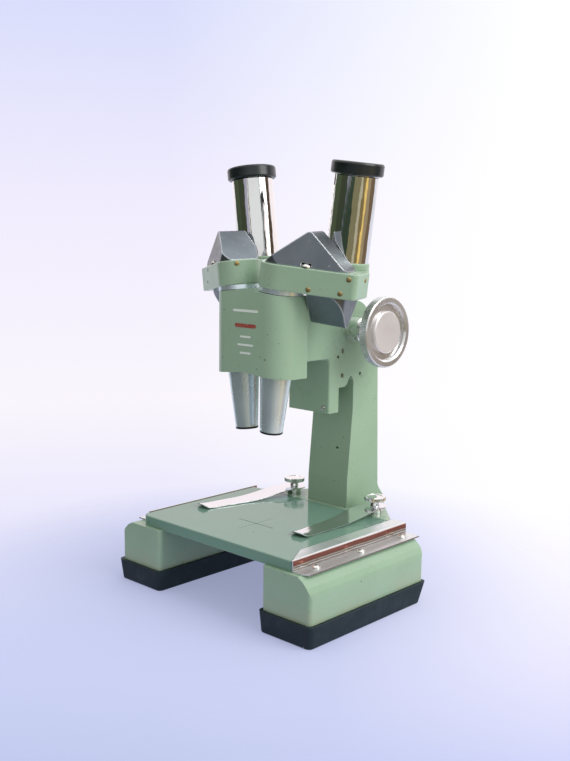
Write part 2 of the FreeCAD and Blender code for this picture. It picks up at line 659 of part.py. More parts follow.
def make_clip(side):
    """A spring strip: level at its post, bent down to the stage, with an upturned tip."""
    gauge = size("clip_gauge")
    length = size("clip_length")
    start = size("post_height") + 0.1
    rear = size("clip_width") / 2
    line = [(rear, start), (0.0, start), (-0.12 * length, start), (-0.36 * length, 0.42 * start),
            (-0.58 * length, 0.30), (-0.80 * length, 0.22), (-0.93 * length, 0.34),
            (-0.97 * length, 0.9), (-length, 2.0)]
    under = Part.BSplineCurve()
    under.interpolate([Vector(0, along, up) for along, up in line])
    over = Part.BSplineCurve()
    over.interpolate([Vector(0, along, up + gauge) for along, up in line])
    ends = [Part.LineSegment(under.EndPoint, over.EndPoint).toShape(),
            Part.LineSegment(over.StartPoint, under.StartPoint).toShape()]
    strip_face = Part.Face(Part.Wire([under.toShape(), ends[0], over.toShape(), ends[1]]))
    strip = strip_face.extrude(Vector(40, 0, 0))
    strip.translate(Vector(-20, 0, 0))
    tip = size("clip_tip_width") / 2
    shoulder = -0.3 * length
    plan = Part.Wire([
        Part.Arc(Vector(rear, 0, 0), Vector(0, rear, 0), Vector(-rear, 0, 0)).toShape(),
        Part.LineSegment(Vector(-rear, 0, 0), Vector(-rear, shoulder, 0)).toShape(),
        Part.LineSegment(Vector(-rear, shoulder, 0), Vector(-tip, 2 - length, 0)).toShape(),
        Part.Arc(Vector(-tip, 2 - length, 0), Vector(1.4 - tip, 0.5 - length, 0),
                 Vector(3 - tip, -length, 0)).toShape(),
        Part.LineSegment(Vector(3 - tip, -length, 0), Vector(tip - 3, -length, 0)).toShape(),
        Part.Arc(Vector(tip - 3, -length, 0), Vector(tip - 1.4, 0.5 - length, 0),
                 Vector(tip, 2 - length, 0)).toShape(),
        Part.LineSegment(Vector(tip, 2 - length, 0), Vector(rear, shoulder, 0)).toShape(),
        Part.LineSegment(Vector(rear, shoulder, 0), Vector(rear, 0, 0)).toShape(),
    ])
    prism = Part.Face(plan).extrude(Vector(0, 0, 20))
    prism.translate(Vector(0, 0, -5))
    hole = Part.makeCylinder(size("clip_hole"), 20, Vector(0, 0, -5))
    clip = strip.common(prism).cut(hole)
    sign = 1 if side == "right" else -1
    seat = Vector(sign * size("post_across"), size("post_back"), size("deck_top"))
    turned = Rotation(Vector(0, 0, 1), CLIP_REST_TURN[side])
    shaped("stage_clip_" + side, clip, Placement(seat, turned))


def make_thumbscrews():
    """A knurled disc on a hub, with a shank through the clip into the post."""
    body = new_body("thumbscrew_turning")
    hub = "post_height + 0.9"
    turn(body, [("0", "-4"), ("screw_shank", "-4"), ("screw_shank", hub), ("screw_hub", hub),
                ("screw_hub - 0.3", "post_height + 2.4"), ("screw_hub - 0.9", "post_height + 3.6"),
                ("screw_disc - 0.5", "post_height + 3.7"), ("screw_disc", "post_height + 4.2"),
                ("screw_disc", "post_height + 6"), ("screw_disc - 0.5", "post_height + 6.5"),
                ("screw_disc - 2", "post_height + 6.5"), ("screw_disc - 2.2", "post_height + 6.2"),
                ("0", "post_height + 6.2")])
    teeth = placed(toothed_disc(size("screw_disc"), 0.3, 48, 16), Placement(Vector(0, 0, -5), Rotation()))
    knurl = feature_of("thumbscrew_knurl", teeth)
    common = doc.addObject("Part::Common", "clip_thumbscrew_right")
    common.Base = body
    common.Tool = knurl
    doc.recompute()
    keep_pair(common, "clip_thumbscrew", POST_PLACE)


def make_column():
    """The upright: a flared foot, a slim neck and a round head about the pinion axis."""
    body = new_body("column")
    lobe_back = "pinion_back + lobe_radius * cos(22.1)"
    lobe_up = "pinion_height + lobe_radius * sin(22.1)"
    pad(body, "YZ_Plane", "0", "2 * column_half", [[
        ("foot_front", "deck_top"), ("foot_front", "60"), ("neck_front", "105"),
        ("neck_front", "123"), ("neck_front - 2.5", "127.5"),
        ("61.5", "121"), ("59", "guide_foot"), ("guide_front", "guide_foot"),
        ("guide_front", "pinion_height"), ("pinion_back", "pinion_height"), (lobe_back, lobe_up),
        ("neck_back", "140"), ("neck_back", "126"), ("foot_back", "52"), ("toe_back", "45"),
        ("toe_back", "deck_top")]], symmetric=True)
    pad(body, "YZ_Plane", "0", "2 * column_half",
        circles=[("pinion_back", "pinion_height", "lobe_radius")], symmetric=True)
    pocket(body, "YZ_Plane", "0", "4 * column_half", [[
        ("guide_front - 9", "guide_foot + 5"), ("guide_front", "guide_foot + 5"),
        ("guide_front", "pinion_height + 30"), ("guide_front - 9", "pinion_height + 30")]],
        symmetric=True)
    soften(body, "Fillet", "8", across_at((size("neck_back"), 140), (size("foot_back"), 52)))
    soften(body, "Fillet", "4", across_at((size("toe_back"), 45)))
    soften(body, "Fillet", "1.6", across_at((size("neck_front - 2.5"), 127.5), (61.5, 121)))
    pocket(body, "XY_Plane", "guide_foot - 8", "80", [[
        ("-neck_half - slide_gap", "guide_front - 2"),
        ("-neck_half - slide_gap", "tongue_start - slide_gap"),
        ("-tongue_half - slide_gap", "tongue_start - slide_gap"),
        ("-tongue_half - slide_gap", "tongue_end + slide_gap"),
        ("-rack_half - 0.3", "tongue_end + slide_gap"), ("-rack_half - 0.3", "rack_tips + 0.4"),
        ("rack_half + 0.3", "rack_tips + 0.4"), ("rack_half + 0.3", "tongue_end + slide_gap"),
        ("tongue_half + gib_gauge + slide_gap", "tongue_end + slide_gap"),
        ("tongue_half + gib_gauge + slide_gap", "tongue_start - slide_gap"),
        ("neck_half + slide_gap", "tongue_start - slide_gap"),
        ("neck_half + slide_gap", "guide_front - 2")]])
    pocket(body, "YZ_Plane", "0", "4 * column_half",
           circles=[("pinion_back", "pinion_height", "pinion_bore")], symmetric=True)
    for along in COLUMN_BOLT_LINE:
        drill(body, "bolt_radius", "14", Placement(Vector(0, along, size("deck_top")), Rotation()))
    sideways = Rotation(Vector(0, 1, 0), -90)
    for height in GIB_SCREW_HEIGHTS:
        drill(body, "1.5", "column_half - tongue_half - gib_gauge", Placement(
            Vector(size("column_half"), GIB_SCREW_LINE, height), sideways))
    drill(body, "1.1", "3", Placement(Vector(size("column_half"), 74.3, 126.7), sideways))
    drill(body, "1.1", "3", Placement(Vector(6, 65.7, 79.3), Rotation(Vector(1, 0, 0), -90)))
    keep(body, "column")


def make_column_bolts():
    bolt = Part.makeCylinder(size("bolt_radius"), 20, Vector(0, 0, 5))
    bolt = bolt.fuse(Part.makeCylinder(size("bolt_radius") + 2, 5))
    hexagon = [Vector(2.4 * math.cos(math.radians(60 * k)), 2.4 * math.sin(math.radians(60 * k)), 0)
               for k in range(7)]
    bolt = bolt.cut(Part.Face(Part.makePolygon(hexagon)).extrude(Vector(0, 0, 3)))
    seats = [Placement(Vector(0, along, size("bridge_under") + 2), Rotation())
             for along in COLUMN_BOLT_LINE]
    shaped("column_bolts", set_of(bolt, seats))


def make_gib():
    """A brass strip that takes up the play beside the tongue, and its two set screws."""
    body = new_body("gib")
    pad(body, "XY_Plane", "guide_foot + 1", "pinion_height - guide_foot + 6", [[
        ("tongue_half + slide_gap", "tongue_start"),
        ("tongue_half + gib_gauge + slide_gap", "tongue_start"),
        ("tongue_half + gib_gauge + slide_gap", "tongue_end"),
        ("tongue_half + slide_gap", "tongue_end")]])
    keep(body, "gib")
    reach = size("column_half - tongue_half - gib_gauge - slide_gap")
    screw = Part.makeCylinder(1.5, reach - 0.6)
    screw = screw.cut(Part.makeBox(4, 0.6, 1, Vector(-2, -0.3, reach - 1.4)))
    seats = [Placement(Vector(size("tongue_half + gib_gauge + slide_gap"), GIB_SCREW_LINE, height),
                       Rotation(Vector(0, 1, 0), 90)) for height in GIB_SCREW_HEIGHTS]
    shaped("gib_screws", set_of(screw, seats))


# ---------------------------------------------------------------- focus drive

def make_pinion_bushes():
    body = new_body("pinion_bush_right")
    turn(body, [("shaft_radius + 0.05", "column_half - 10"), ("pinion_bore", "column_half - 10"),
                ("pinion_bore", "column_half"), ("bush_radius", "column_half"),
                ("bush_radius", "column_half + bush_length - 0.8"),
                ("bush_radius - 0.8", "column_half + bush_length"),
                ("shaft_radius + 0.05", "column_half + bush_length")])
    keep_pair(body, "pinion_bush", PINION_PLACE)


def make_pinion_shaft():
    """The cross shaft, with the pinion's teeth at its middle."""
    reach = size("knob_face - knob_sink") - 0.2
    shaft = Part.makeCylinder(size("shaft_radius"), 2 * reach, Vector(0, 0, -reach))
    pinion = toothed_disc(size("pinion_pitch") - 0.2, 0.8, 20, 10)
    pinion.translate(Vector(0, 0, -5))
    shaped("pinion_shaft", shaft.fuse(pinion), PINION_PLACE)


def make_focus_knobs():
    """A thin knurled disc with a stepped face, on a hub."""
    body = new_body("focus_knob_turning")
    turn(body, [("shaft_radius", "column_half + bush_length + 0.4"),
                ("knob_hub", "column_half + bush_length + 0.4"), ("knob_hub", "knob_back - 1.5"),
                ("knob_hub + 1.5", "knob_back"), ("knob_radius - 0.5", "knob_back"),
                ("knob_radius", "knob_back + 0.5"), ("knob_radius", "knob_face - 0.8"),
                ("knob_radius - 0.8", "knob_face"), ("knob_radius - 3.4", "knob_face"),
                ("knob_radius - 4.4", "knob_face - 1"), ("knob_radius - 4.8", "knob_face - knob_sink"),
                ("shaft_radius", "knob_face - knob_sink")])
    knurl = feature_of("focus_knob_knurl", toothed_disc(size("knob_radius"), 0.35, 132, 60))
    common = doc.addObject("Part::Common", "focus_knob_right")
    common.Base = body
    common.Tool = knurl
    doc.recompute()
    keep_pair(common, "focus_knob", PINION_PLACE)
    disc = new_body("knob_disc_right")
    turn(disc, [("0", "knob_face - knob_sink"), ("inlay_radius", "knob_face - knob_sink"),
                ("inlay_radius", "knob_face - 0.9"), ("inlay_radius - 0.7", "knob_face - 0.2"),
                ("0", "knob_face - 0.2")])
    keep_pair(disc, "knob_disc", PINION_PLACE)


# ---------------------------------------------------------------- focus carriage

def make_carriage():
    """The plate that slides on the guide, and the arm that carries the head."""
    body = new_body("carriage")
    pad(body, "YZ_Plane", "0", "2 * arm_half", [[
        ("carriage_face", "carriage_foot"), ("carriage_back", "carriage_foot"),
        ("carriage_back", "carriage_top"), ("carriage_face", "carriage_top"),
        ("carriage_face", "arm_top"), ("body_rear", "arm_top"), ("body_rear", "arm_under"),
        ("carriage_face", "arm_under")]], symmetric=True)
    soften(body, "Fillet", "2", across_at((size("carriage_face"), size("arm_under"))))
    sides = (size("arm_half"), -size("arm_half"))
    soften(body, "Fillet", "1.2", upright_at(*[(x, size("carriage_face")) for x in sides]))
    arm_top = size("arm_top")
    soften(body, "Fillet", "1.2", lambda edge: (
        edge.BoundBox.YLength > 20 and abs(edge.BoundBox.ZMax - arm_top) < 0.01))
    pad(body, "XY_Plane", "carriage_foot + 3", "carriage_top - carriage_foot - 6", [[
        ("-neck_half", "carriage_back - 1"), ("neck_half", "carriage_back - 1"),
        ("neck_half", "tongue_start"), ("tongue_half", "tongue_start"), ("tongue_half", "tongue_end"),
        ("-tongue_half", "tongue_end"), ("-tongue_half", "tongue_start"),
        ("-neck_half", "tongue_start")]])
    drill(body, "0.9", "5", CARRIAGE_SCREW_PLACE)
    drill(body, "1", "2", Placement(Vector(size("arm_half"), 52.4, 138.6), Rotation(Vector(0, 1, 0), -90)))
    keep(body, "carriage")


def make_carriage_screw():
    """A small screw low on the front of the carriage's plate."""
    screw = slotted_screw(1.5, 0.9, 0.9, 5, slot=0.4)
    shaped("carriage_screw", screw, CARRIAGE_SCREW_PLACE.multiply(Placement(Vector(), DOWN)))


def make_rack():
    """A straight rack on the back of the tongue, its teeth towards the pinion."""
    pitch = 2 * math.pi * size("pinion_pitch") / 20
    tips = size("rack_tips")
    roots = tips - 0.9
    foot = size("carriage_foot") + 6
    points = [Vector(0, size("tongue_end"), foot)]
    for index in range(27):
        base = foot + index * pitch
        points.append(Vector(0, roots, base))
        points.append(Vector(0, roots, base + 0.2 * pitch))
        points.append(Vector(0, tips, base + 0.45 * pitch))
        points.append(Vector(0, tips, base + 0.65 * pitch))
        points.append(Vector(0, roots, base + 0.9 * pitch))
    points.append(Vector(0, roots, foot + 27 * pitch))
    points.append(Vector(0, size("tongue_end"), foot + 27 * pitch))
    half = size("rack_half")
    face = Part.Face(Part.makePolygon(points + points[:1]))
    face.translate(Vector(-half, 0, 0))
    shaped("rack", face.extrude(Vector(2 * half, 0, 0)))


def make_head_body():
    """The block that holds the two objectives; its roof and floor fall away to both sides."""
    body = new_body("head_body")
    fall = "body_half * tan(head_tilt)"
    rise = "body_half * tan(lens_tilt)"
    pad(body, "XY_Plane", "body_under - " + rise, "body_top - body_under + " + rise, [[
        ("-body_half", "body_front"), ("body_half", "body_front"),
        ("body_half", "body_rear"), ("-body_half", "body_rear")]])
    sides = (size("body_half"), -size("body_half"))
    soften(body, "Fillet", "body_corner", upright_at(*[(x, size("body_front")) for x in sides]))
    soften(body, "Fillet", "0.8", upright_at(*[(x, size("body_rear")) for x in sides]))
    pocket(body, "XZ_Plane", "0", "100", [[
        ("-body_half", "body_under - " + rise), ("0", "body_under"),
        ("body_half", "body_under - " + rise)]], symmetric=True)
    for sign in ("", "-"):
        pocket(body, "XZ_Plane", "0", "100", [[
            ("0", "body_top"), (sign + "body_half", "body_top"),
            (sign + "body_half", "body_top - " + fall)]], symmetric=True)
    for side in (1, -1):
        lens = mirror_place(LENS_PLACE, side)
        drill(body, "cone_spigot", "100", lens)
        hub = mirror_place(HEAD_PLACE, side)
        depth = size("plate_thick + pivot_flange_thick + pivot_hub_length") + 0.4
        drill(body, "pivot_hub + 0.05", "30",
              hub.multiply(Placement(Vector(0, 0, -depth), Rotation())))
    keep(body, "head_body")


def mirror_place(place, side):
    """The placement itself for the right side (1), or one with its axis mirrored (-1)."""
    if side == 1:
        return place
    axis = place.Rotation.multVec(Vector(0, 0, 1))
    base = Vector(-place.Base.x, place.Base.y, place.Base.z)
    return Placement(base, Rotation(Vector(0, 0, 1), Vector(-axis.x, axis.y, axis.z)))


def make_objectives():
    """A tapered barrel with a dark nose ring and a lens behind it."""
    cone = new_body("objective_cone_right")
    turn(cone, [("cone_small - 1.3", "1.2"), ("cone_small", "1.2"), ("cone_large", "cone_length"),
                ("cone_spigot", "cone_length"), ("cone_spigot", "cone_length + 8"),
                ("cone_spigot - 1.6", "cone_length + 8"), ("cone_spigot - 1.6", "6"),
                ("cone_small - 1.3", "6")])
    keep_pair(cone, "objective_cone", LENS_PLACE)
    ring = new_body("objective_ring_right")
    turn(ring, [("cone_small - 1.9", "0.3"), ("cone_small - 0.2", "0"), ("cone_small + 0.1", "0.3"),
                ("cone_small + 0.1", "1.2"), ("cone_small - 1.9", "1.2")])
    keep_pair(ring, "objective_ring", LENS_PLACE)
    bulge = Part.makeSphere(14, Vector(0, 0, 15.4)).common(Part.makeSphere(14, Vector(0, 0, -8.2)))
    rim = Part.makeCylinder(size("cone_small") - 1.35, 6, Vector(0, 0, 0.6))
    keep_pair(feature_of("objective_lens_right", bulge.common(rim)), "objective_lens", LENS_PLACE)


# ---------------------------------------------------------------- prism heads

PLATE_FRONT_SCREWS = ((40.8, -3.0), (37.0, -11.1), (19.7, -11.3))
PLATE_FRONT_HOLES = ((26.2, -2.4), (29.2, -9.5))
LOBE_SCREW_ANGLE = -151


def plate_front(along, setback="0"):
    """Y of the plate's slanting front edge at a given X, moved back by `setback`."""
    return "-(pivot_lobe - %s) / cos(plate_skew) + (%s) * tan(plate_skew)" % (setback, along)


def make_prism_plate(side):
    """A plate with a round lobe about the pivot and another about the eyepiece."""
    body = new_body("drawn_plate_" + side)
    pad(body, "XY_Plane", "-plate_thick", "plate_thick", [[
        ("pivot_lobe * sin(plate_skew)", "-pivot_lobe * cos(plate_skew)"),
        ("plate_end", plate_front("plate_end")), ("plate_end", "plate_bend"),
        ("prism_step + eye_lobe * cos(15)", "prism_step - eye_lobe * sin(15)"),
        ("prism_step", "prism_step"),
        ("prism_step + eye_lobe * cos(135.8)", "prism_step + eye_lobe * sin(135.8)"),
        ("pivot_lobe * cos(135.8)", "pivot_lobe * sin(135.8)"), ("0", "0")]])
    pad(body, "XY_Plane", "-plate_thick", "plate_thick", circles=[("0", "0", "pivot_lobe")])
    pad(body, "XY_Plane", "-plate_thick", "plate_thick",
        circles=[("prism_step", "prism_step", "eye_lobe")])
    corner = (size("plate_end"), size(plate_front("plate_end")))
    soften(body, "Fillet", "3", upright_at(corner))
    soften(body, "Chamfer", "0.5", level_edges(0.0))
    soften(body, "Chamfer", "0.5", level_edges(-size("plate_thick")))
    for across, along, radius in (("0", "0", "light_bore"), ("prism_step", "0", "4.5"),
                                  ("prism_step", "prism_step", "8")):
        pocket(body, "XY_Plane", "-plate_thick - 1", "plate_thick + 2",
               circles=[(across, along, radius)])
    for seat in plate_screw_places(side):
        drill(body, "0.9", "4", seat.multiply(Placement(Vector(), DOWN)))
    if side == "left":
        for along, level in PLATE_FRONT_HOLES:
            drill(body, "1.1", "4", front_seat(along, level).multiply(Placement(Vector(), DOWN)))
    drill(body, "1.6", "6", cover_screw_place().multiply(Placement(Vector(), DOWN)))
    keep_side(body, "prism_plate", side, HEAD_PLACE)


def front_seat(along, level):
    """A place on the plate's slanting front edge, with +Z pointing outwards."""
    outwards = Rotation(Vector(0, 0, 1), size("plate_skew")).multiply(Rotation(Vector(1, 0, 0), 90))
    return Placement(Vector(along, size(plate_front(str(along))), level), outwards)


def plate_screw_places(side):
    """Seats of the small screws in a prism plate's edges; +Z points outwards."""
    sideways = Rotation(Vector(0, 1, 0), 90)
    if side == "left":
        about = Placement(Vector(), Rotation(Vector(0, 0, 1), LOBE_SCREW_ANGLE))
        return [about.multiply(Placement(Vector(size("pivot_lobe"), 0, -2), sideways))]
    places = [front_seat(along, level) for along, level in PLATE_FRONT_SCREWS]
    places.append(Placement(Vector(size("plate_end"), 9.5, -3.9), sideways))
    places.append(Placement(Vector(39.5, 12.5, -size("plate_thick")), DOWN))
    return places


def cover_screw_place():
    """Seat of the large screw in the notch at the foot of the upper cover's front."""
    along = "gable_ridge + 1.3"
    return Placement(Vector(size(along), size(plate_front(along)) + 2.9, 0), Rotation(Vector(0, 0, 1), 35))


def make_head_screws():
    small = slotted_screw(1.4, 0.4, 0.9, 4, slot=0.4)
    for side in ("right", "left"):
        screws = feature_of("drawn_screws_" + side, set_of(small, plate_screw_places(side)))
        keep_side(screws, "plate_screws", side, HEAD_PLACE)
    large = slotted_screw(2.7, 2.4, 1.6, 6)
    cover_screw = feature_of("cover_screw_right", set_of(large, [cover_screw_place()]))
    keep_pair(cover_screw, "cover_screw", HEAD_PLACE)


def make_upper_cover():
    """A gabled cover over the upper prism: a steep roof with a leaning front."""
    body = new_body("upper_cover_right")
    outer = "gable_ridge + gable_half - 0.5"
    lobe = "(pivot_lobe - inset)"
    pad(body, "XY_Plane", "0", "gable_height + 2", [[
        (lobe + " * sin(plate_skew)", "-" + lobe + " * cos(plate_skew)"),
        (outer, plate_front(outer, "inset")), (outer, "gable_rear"), ("1.5", "gable_rear"),
        ("-" + lobe + " * sin(19.2)", lobe + " * cos(19.2)"), ("0", "0")]])
    pad(body, "XY_Plane", "0", "gable_height + 2", circles=[("0", "0", "pivot_lobe - inset")])
    lean = Rotation(Vector(0, 0, 1), size("plate_skew")).multiply(
        Rotation(Vector(1, 0, 0), -size("gable_lean")))
    shave(body, Placement(Vector(0, size(plate_front("0", "inset")), 0), lean))
    outer_front = (size(outer), size(plate_front(outer, "inset")))
    outer_rear = (size(outer), size("gable_rear"))
    soften(body, "Fillet", "4.5", lambda edge: edge.BoundBox.ZLength > 10 and math.hypot(
        edge.BoundBox.XMax - outer_front[0], edge.BoundBox.YMin - outer_front[1]) < 0.3)
    soften(body, "Fillet", "2", upright_at(outer_rear))
    slope = "gable_height / gable_half"
    for sign in ("", "-"):
        foot = "gable_ridge + %s1 * (gable_half + 12)" % sign
        pocket(body, "XZ_Plane", "0", "120", [[
            ("gable_ridge", "gable_height"), ("gable_ridge", "gable_height + 6"),
            (foot, "gable_height + 6"), (foot, "-12 * " + slope)]], symmetric=True)
    ridge = size("gable_ridge")
    soften(body, "Fillet", "2.6", lambda edge: (
        edge.BoundBox.YLength > 8 and abs(edge.BoundBox.XMin - ridge) < 0.01
        and abs(edge.BoundBox.XMax - ridge) < 0.01))
    cavity(body, ("0", [("-5", "-5"), ("35", "-1.9"), ("35", "gable_rear - 2"), ("-5", "7")]),
           ("gable_height - 3.5", [("gable_ridge - 1.5", "-2.2"), ("gable_ridge + 1.5", "-2.2"),
                                   ("gable_ridge + 1.5", "gable_rear - 2"),
                                   ("gable_ridge - 1.5", "gable_rear - 2")]))
    drill(body, "2.8", "2.5", cover_screw_place())
    keep_pair(body, "upper_cover", HEAD_PLACE)


def make_lower_cover():
    """A cover under the plate, pointed downwards, round the lower prism."""
    body = new_body("lower_cover_right")
    pad(body, "XY_Plane", "-plate_thick - keel_depth", "keel_depth", [[
        ("keel_inner", "keel_middle - keel_half"), ("keel_outer", "keel_middle - keel_half"),
        ("keel_outer", "keel_middle + keel_half"), ("keel_inner", "keel_middle + keel_half")]])
    front = size("keel_middle - keel_half")
    rear = size("keel_middle + keel_half")
    soften(body, "Fillet", "8.5", upright_at((size("keel_outer"), front)))
    soften(body, "Fillet", "3", upright_at((size("keel_inner"), front)))
    soften(body, "Fillet", "3", upright_at((size("keel_outer"), rear)))
    slope = "keel_depth / keel_half"
    for sign in ("", "-"):
        foot = "keel_middle + %s1 * (keel_half + 10)" % sign
        pocket(body, "YZ_Plane", "0", "120", [[
            ("keel_middle", "-plate_thick - keel_depth"), ("keel_middle", "-plate_thick - keel_depth - 6"),
            (foot, "-plate_thick - keel_depth - 6"), (foot, "-plate_thick + 10 * " + slope)]],
            symmetric=True)
    middle = size("keel_middle")
    soften(body, "Fillet", "2.4", lambda edge: (
        edge.BoundBox.XLength > 8 and abs(edge.BoundBox.YMin - middle) < 0.01
        and abs(edge.BoundBox.YMax - middle) < 0.01))
    pocket(body, "YZ_Plane", "keel_inner + 2.2", "15.5", [[
        ("keel_middle - 11.5", "-plate_thick + 1"), ("keel_middle + 11.5", "-plate_thick + 1"),
        ("keel_middle", "-plate_thick - 14.5")]])
    keep_pair(body, "lower_cover", HEAD_PLACE)


def make_prisms():
    """Two right-angled glass prisms with ground-off ridges, one above and one below the plate."""
    upper = new_body("upper_prism_right")
    pad(upper, "XZ_Plane", "-1.6", "8.6", [[
        ("prism_step / 2 - 16.2", "0"), ("prism_step / 2 + 16.2", "0"),
        ("prism_step / 2 + 4.2", "12"), ("prism_step / 2 - 4.2", "12")]])
    keep_pair(upper, "upper_prism", HEAD_PLACE)
    lower = new_body("lower_prism_right")
    pad(lower, "YZ_Plane", "19", "13.5", [[
        ("keel_middle - 10", "-plate_thick"), ("keel_middle + 10", "-plate_thick"),
        ("keel_middle + 1.5", "-plate_thick - 8.5"), ("keel_middle - 1.5", "-plate_thick - 8.5")]])
    keep_pair(lower, "lower_prism", HEAD_PLACE)


def make_pivot_rings():
    body = new_body("pivot_ring_right")
    turn(body, [("light_bore", "-plate_thick"), ("pivot_flange", "-plate_thick"),
                ("pivot_flange", "-plate_thick - pivot_flange_thick"),
                ("pivot_hub", "-plate_thick - pivot_flange_thick"),
                ("pivot_hub", "-plate_thick - pivot_flange_thick - pivot_hub_length"),
                ("light_bore", "-plate_thick - pivot_flange_thick - pivot_hub_length")])
    keep_pair(body, "pivot_ring", HEAD_PLACE)


# ---------------------------------------------------------------- eyepieces

def make_eyepiece_tubes():
    collar = new_body("tube_collar_right")
    turn(collar, [("8", "0"), ("collar_radius", "0"), ("collar_radius", "collar_height - 0.6"),
                  ("collar_radius - 0.6", "collar_height"), ("8", "collar_height")])
    keep_pair(collar, "tube_collar", EYE_PLACE)
    tube = new_body("eyepiece_tube_right")
    turn(tube, [("tube_bore", "collar_height"), ("tube_radius", "collar_height"),
                ("tube_radius", "tube_top - 0.4"), ("tube_radius - 0.4", "tube_top"),
                ("tube_bore", "tube_top")])
    keep_pair(tube, "eyepiece_tube", EYE_PLACE)


def make_eyepieces():
    """A lens barrel that slides in the tube, under a black eyecup."""
    barrel = new_body("eyepiece_barrel_right")
    turn(barrel, [("barrel_radius - 1.2", "20"), ("barrel_radius", "20"), ("barrel_radius", "cup_base"),
                  ("barrel_radius", "cup_base + 4"), ("barrel_radius - 1.2", "cup_base + 4")])
    keep_pair(barrel, "eyepiece_barrel", EYE_PLACE)
    cup = new_body("eyecup_right")
    turn(cup, [("barrel_radius", "cup_base"), ("cup_radius - 0.8", "cup_base"),
               ("cup_radius", "cup_base + 0.8"), ("cup_radius", "cup_top - 1.2"),
               ("cup_radius - 0.4", "cup_top - 0.35"), ("cup_radius - 1.2", "cup_top"),
               ("cup_radius - 3", "cup_top"), ("8.2", "cup_top - 1.9"), ("8.2", "cup_base + 4"),
               ("barrel_radius", "cup_base + 4")])
    keep_pair(cup, "eyecup", EYE_PLACE)
    top = size("cup_top") - 2.6
    dome = Part.makeSphere(24, Vector(0, 0, top - 24))
    rim = Part.makeCylinder(8.15, 4, Vector(0, 0, size("cup_base") + 1.6))
    keep_pair(feature_of("eye_lens_right", dome.common(rim)), "eye_lens", EYE_PLACE)


# ---------------------------------------------------------------- the whole

make_base_casting()
make_boots()
make_stage_plate()
make_rail_right()
make_rail_left()
make_rail_screws()
make_clip_posts()
make_clip("right")
make_clip("left")
make_thumbscrews()
make_column()
make_column_bolts()
make_gib()
make_pinion_bushes()
make_pinion_shaft()
make_focus_knobs()
make_carriage()
make_carriage_screw()
make_rack()
make_head_body()
make_objectives()
make_prism_plate("right")
make_prism_plate("left")
make_head_screws()
make_upper_cover()
make_lower_cover()
make_prisms()
make_pivot_rings()
make_eyepiece_tubes()
make_eyepieces()

doc.recompute()
for thing in doc.Objects:
    if "Invalid" in thing.State or "Error" in thing.State:
        raise RuntimeError("%s is in a bad state: %s" % (thing.Label, thing.State))
for part in PARTS:
    if part.Shape.isNull() or not part.Shape.isValid():
        raise RuntimeError("%s has a bad shape" % part.Label)

os.makedirs("parts", exist_ok=True)
for part in PARTS:
    part.Shape.exportStep("parts/%s.step" % part.Label)
print("%d sub-parts written" % len(PARTS))
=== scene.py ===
import json
import math

import bmesh
import bpy
from mathutils import Matrix, Vector


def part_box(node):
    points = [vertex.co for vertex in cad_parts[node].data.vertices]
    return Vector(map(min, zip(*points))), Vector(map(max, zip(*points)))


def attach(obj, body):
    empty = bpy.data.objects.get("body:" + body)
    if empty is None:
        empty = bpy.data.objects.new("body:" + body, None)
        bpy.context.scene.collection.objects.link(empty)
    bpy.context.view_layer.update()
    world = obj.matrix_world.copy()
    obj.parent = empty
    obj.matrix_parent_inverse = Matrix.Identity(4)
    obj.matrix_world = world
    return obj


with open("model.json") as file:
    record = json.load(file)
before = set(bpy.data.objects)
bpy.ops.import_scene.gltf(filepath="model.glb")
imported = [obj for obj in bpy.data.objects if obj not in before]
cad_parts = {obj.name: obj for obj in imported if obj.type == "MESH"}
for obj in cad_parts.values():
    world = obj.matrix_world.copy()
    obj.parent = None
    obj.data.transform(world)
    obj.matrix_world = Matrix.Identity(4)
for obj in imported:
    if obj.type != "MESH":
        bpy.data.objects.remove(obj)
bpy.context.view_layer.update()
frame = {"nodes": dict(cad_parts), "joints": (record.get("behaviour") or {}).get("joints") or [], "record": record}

# Looks of a stereo microscope: materials, printed marks, floor, light and camera.
# Everything is in metres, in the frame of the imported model.

MM = 0.001
WINDOW_SIDE = (0.73, 0.68, 0.0)
bpy.context.scene.view_settings.view_transform = "Standard"


# ---------------------------------------------------------------- node helpers

class Tree:
    """A short way to build a node tree."""

    def __init__(self, tree):
        self.tree = tree

    def add(self, kind, **settings):
        node = self.tree.nodes.new(kind)
        for key, value in settings.items():
            setattr(node, key, value)
        return node

    def join(self, source, socket):
        self.tree.links.new(source, socket)

    def feed(self, socket, value):
        """Set a socket to a number or a colour, or link it to another node's output."""
        if isinstance(value, bpy.types.NodeSocket):
            self.join(value, socket)
        else:
            socket.default_value = value

    def vector_maths(self, operation, first, second=None):
        node = self.add("ShaderNodeVectorMath", operation=operation)
        self.feed(node.inputs[0], first)
        if second is not None:
            self.feed(node.inputs[1], second)
        return node

    def along(self, vector, axis):
        """How far a vector reaches along an axis."""
        return self.vector_maths("DOT_PRODUCT", vector, axis).outputs["Value"]

    def span(self, value, low, high, to_low=0.0, to_high=1.0):
        """Rescale a value from one range to another, without going past its ends."""
        node = self.add("ShaderNodeMapRange", clamp=True)
        self.join(value, node.inputs["Value"])
        node.inputs["From Min"].default_value = low
        node.inputs["From Max"].default_value = high
        node.inputs["To Min"].default_value = to_low
        node.inputs["To Max"].default_value = to_high
        return node.outputs["Result"]

    def mix(self, share, first, second):
        """Blend two colours."""
        node = self.add("ShaderNodeMix", data_type="RGBA")
        self.feed(node.inputs["Factor"], share)
        self.feed(node.inputs["A"], first)
        self.feed(node.inputs["B"], second)
        return node.outputs["Result"]

    def ramp(self, value, stops):
        """A colour that changes with a value; each stop is (position, colour)."""
        node = self.add("ShaderNodeValToRGB")
        elements = node.color_ramp.elements
        while len(elements) < len(stops):
            elements.new(1.0)
        for element, (position, tone) in zip(elements, stops):
            element.position = position
            element.color = tone
        self.join(value, node.inputs["Fac"])
        return node.outputs["Color"]


